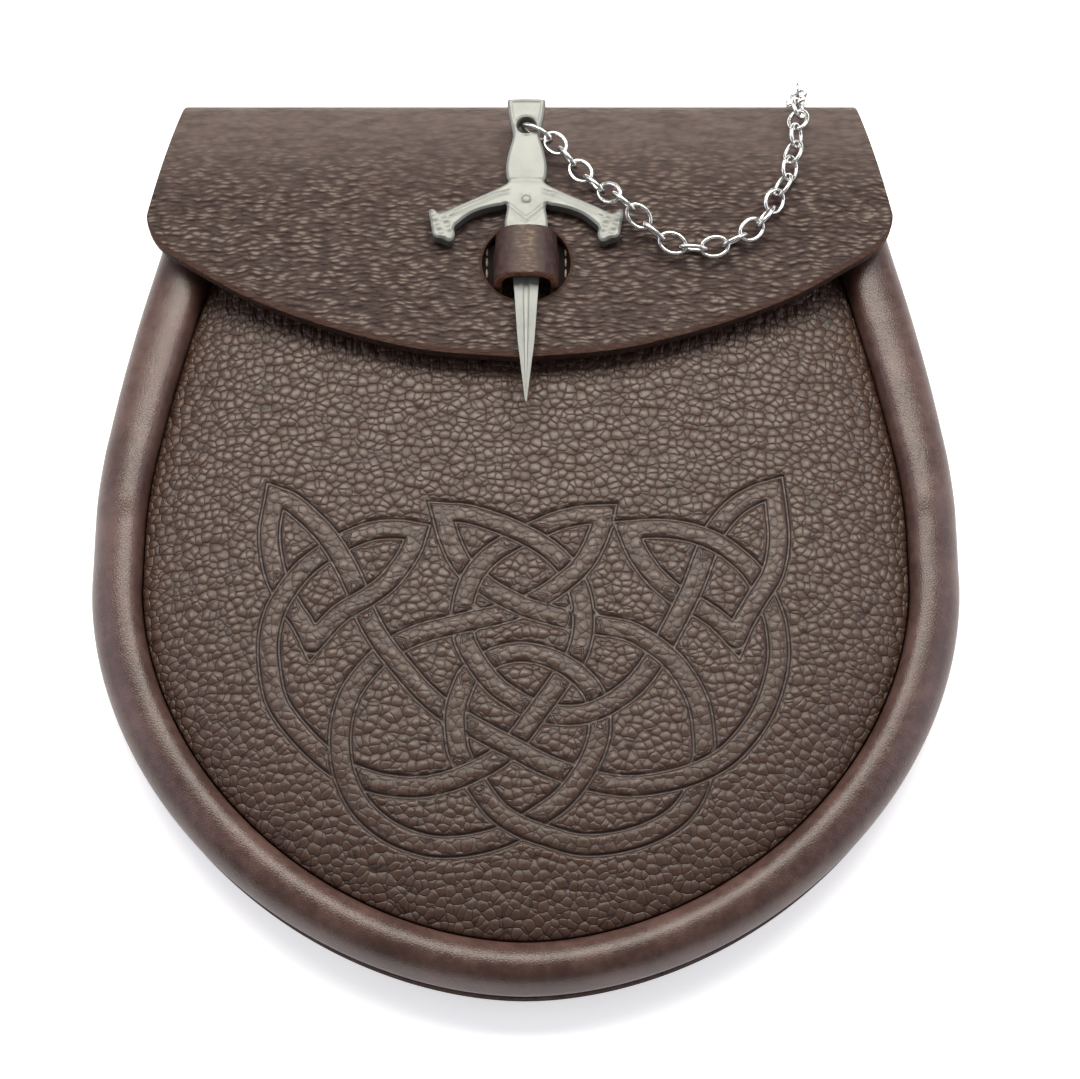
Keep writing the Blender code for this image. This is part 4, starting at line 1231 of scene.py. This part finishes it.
place_blade(end_verts, BLADE[0])
for i, row in enumerate(BLADE[1:]):
    made = bmesh.ops.extrude_face_region(pin_work, geom=end)
    if i:
        bmesh.ops.delete(pin_work, geom=end, context="FACES_ONLY")
    end = [part for part in made["geom"] if isinstance(part, bmesh.types.BMFace)]
    end_verts = end[0].verts[:]
    place_blade(end_verts, row)
bmesh.ops.recalc_face_normals(pin_work, faces=pin_work.faces)
bmesh.ops.translate(pin_work, verts=pin_work.verts, vec=(0, guard_y, pin_z))


def satin_metal(name, dark, light, roughness):
    """White metal with a satin face. Its upright sides are left dull and grainy from the sand."""
    material, shader, place = start_finish(name, roughness)
    shader["Metallic"].default_value = 0.55
    facing = place.node("ShaderNodeTexCoord", {}, {}, output=1)
    upward = place.node("ShaderNodeSeparateXYZ", {}, {"Vector": facing}, output=2)
    side = 1 - upward.unsigned().between(0.25, 0.75)
    sand = place.noise(0.00028)
    cloud = place.noise(0.0030)
    (side * 0.85 + cloud.between(0.5, 0.8) * 0.18).mix(light, dark).into(shader["Base Color"])
    (side * 0.30 + cloud * 0.14 + (roughness - 0.07)).into(shader["Roughness"])
    (sand * (side * 0.7 + 0.3)).raise_face(shader, 0.5, 0.00012)
    return material


pin_metal = satin_metal("pin_metal", colour(92, 94, 86), colour(132, 134, 131), 0.52)
dirk_pin = keep("dirk_pin", pin_work)
dirk_pin.data.materials.append(pin_metal)
dirk_pin.data.set_sharp_from_angle(angle=math.radians(35))
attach(dirk_pin, "root")
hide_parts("dirk_pin")

# The chain: a jump ring through the pommel, and oval links of polished wire, each laid at a right
# angle to the last and soldered shut. They run over the flap and round the fold.
Oval = namedtuple("Oval", "length width wire")
LINK_SIZE = Oval(0.00712, 0.00532, 0.00092)
RING_SIZE = Oval(0.0084, 0.0056, 0.0010)
LINKS = 24


def oval_ring(work, size, place):
    """Add an oval ring of round wire, long on X and flat on Z, moved by a matrix."""
    made = bmesh.ops.create_grid(work, x_segments=40, y_segments=12, size=math.pi)["verts"]
    long, wide = size.length - size.wire, size.width - size.wire
    for vert in made:
        turn, tilt = vert.co.xy
        middle = Vector((long / 2 * math.cos(turn), wide / 2 * math.sin(turn), 0))
        out = Vector((middle.x / long ** 2, middle.y / wide ** 2, 0)).normalized()
        lean = out * math.cos(tilt) + Vector((0, 0, math.sin(tilt)))
        vert.co = place @ (middle + lean * size.wire / 2)
    bmesh.ops.remove_doubles(work, verts=made, dist=0.000001)
    bmesh.ops.recalc_face_normals(work, faces=work.faces)


def node_place(name):
    """The matrix of a link's solid: its middle, X along it, and Z across its flat side."""
    spots = np.array([v.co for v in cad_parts[name].data.vertices])
    middle = spots.mean(0)
    axes = np.linalg.svd(np.unique((spots - middle).round(7), axis=0), full_matrices=False)[2]
    turn = Matrix((axes[0], axes[1], np.cross(axes[0], axes[1]))).transposed().to_4x4()
    return Matrix.Translation(middle) @ turn


def polished_metal(name, dark, light, roughness):
    """Bright silver-coloured wire with faint scuffs."""
    material, shader, place = start_finish(name, roughness)
    shader["Metallic"].default_value = 1.0
    scuffs = place.noise(0.0006, 4.0)
    scuffs.between(0.3, 0.6).mix(dark, light).into(shader["Base Color"])
    (scuffs * 0.20 + (roughness - 0.10)).into(shader["Roughness"])
    scuffs.raise_face(shader, 0.25, 0.00006)
    return material


wire_metal = polished_metal("wire_metal", colour(176, 178, 176), colour(236, 237, 235), 0.20)
for name, size in [("jump_ring", RING_SIZE)] + [(f"link_{i + 1:02d}", LINK_SIZE) for i in range(LINKS)]:
    link_work = bmesh.new()
    oval_ring(link_work, size, node_place(name))
    link = keep(name, link_work)
    link.data.materials.append(wire_metal)
    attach(link, "root")
    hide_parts(name)

# The chain's anchor: a stamped disc riveted through the fold, with an eye soldered to it that
# holds the last link. It lies behind the fold, out of sight from the front.
ANCHOR_PLATE = 0.007
ANCHOR_THICKNESS = 0.001
ANCHOR_BEVEL = 0.0003
ANCHOR_EYE = Oval(0.0044, 0.0044, 0.0009)
RIVET_RADIUS = 0.00072
RIVET_OUT = 0.00228

anchor_low, anchor_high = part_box("chain_anchor")
anchor_middle = np.array([v.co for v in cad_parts["chain_anchor"].data.vertices]).mean(0)
anchor_turn = math.atan2(anchor_middle[2] - FOLD_Z, anchor_middle[1] - FOLD_Y)
outward = Vector((0, math.cos(anchor_turn), math.sin(anchor_turn)))
ahead = Vector((0, outward.z, -outward.y))
foot = Vector(((anchor_low.x + anchor_high.x) / 2, FOLD_Y, FOLD_Z)) + outward * (FOLD_RADIUS + CLEARANCE)
anchor_frame = Matrix((ahead, outward.cross(ahead), outward)).transposed().to_4x4()
anchor_work = bmesh.new()
plate_place = Matrix.Translation(foot + outward * ANCHOR_THICKNESS / 2) @ anchor_frame
bmesh.ops.create_cone(
    anchor_work,
    cap_ends=True,
    segments=48,
    radius1=ANCHOR_PLATE / 2,
    radius2=ANCHOR_PLATE / 2,
    depth=ANCHOR_THICKNESS,
    matrix=plate_place,
)
round_off(anchor_work, [e for e in anchor_work.edges if e.calc_face_angle(0) > 1], ANCHOR_BEVEL, 3)
eye_up = ANCHOR_THICKNESS + ANCHOR_EYE.length / 2 - ANCHOR_EYE.wire
eye_place = Matrix.Translation(foot + outward * eye_up) @ anchor_frame @ Matrix.Rotation(math.pi / 2, 4, "X")
oval_ring(anchor_work, ANCHOR_EYE, eye_place)
for side in (-1, 1):
    rivet = foot + outward * ANCHOR_THICKNESS + outward.cross(ahead) * side * RIVET_OUT
    flat_dome = Matrix.Translation(rivet) @ anchor_frame @ Matrix.Diagonal((1, 1, 0.5, 1))
    bmesh.ops.create_uvsphere(
        anchor_work, u_segments=20, v_segments=10, radius=RIVET_RADIUS, matrix=flat_dome
    )
chain_anchor = keep("chain_anchor", anchor_work)
chain_anchor.data.materials.append(wire_metal)
chain_anchor.data.set_sharp_from_angle(angle=math.radians(35))
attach(chain_anchor, "root")
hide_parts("chain_anchor")
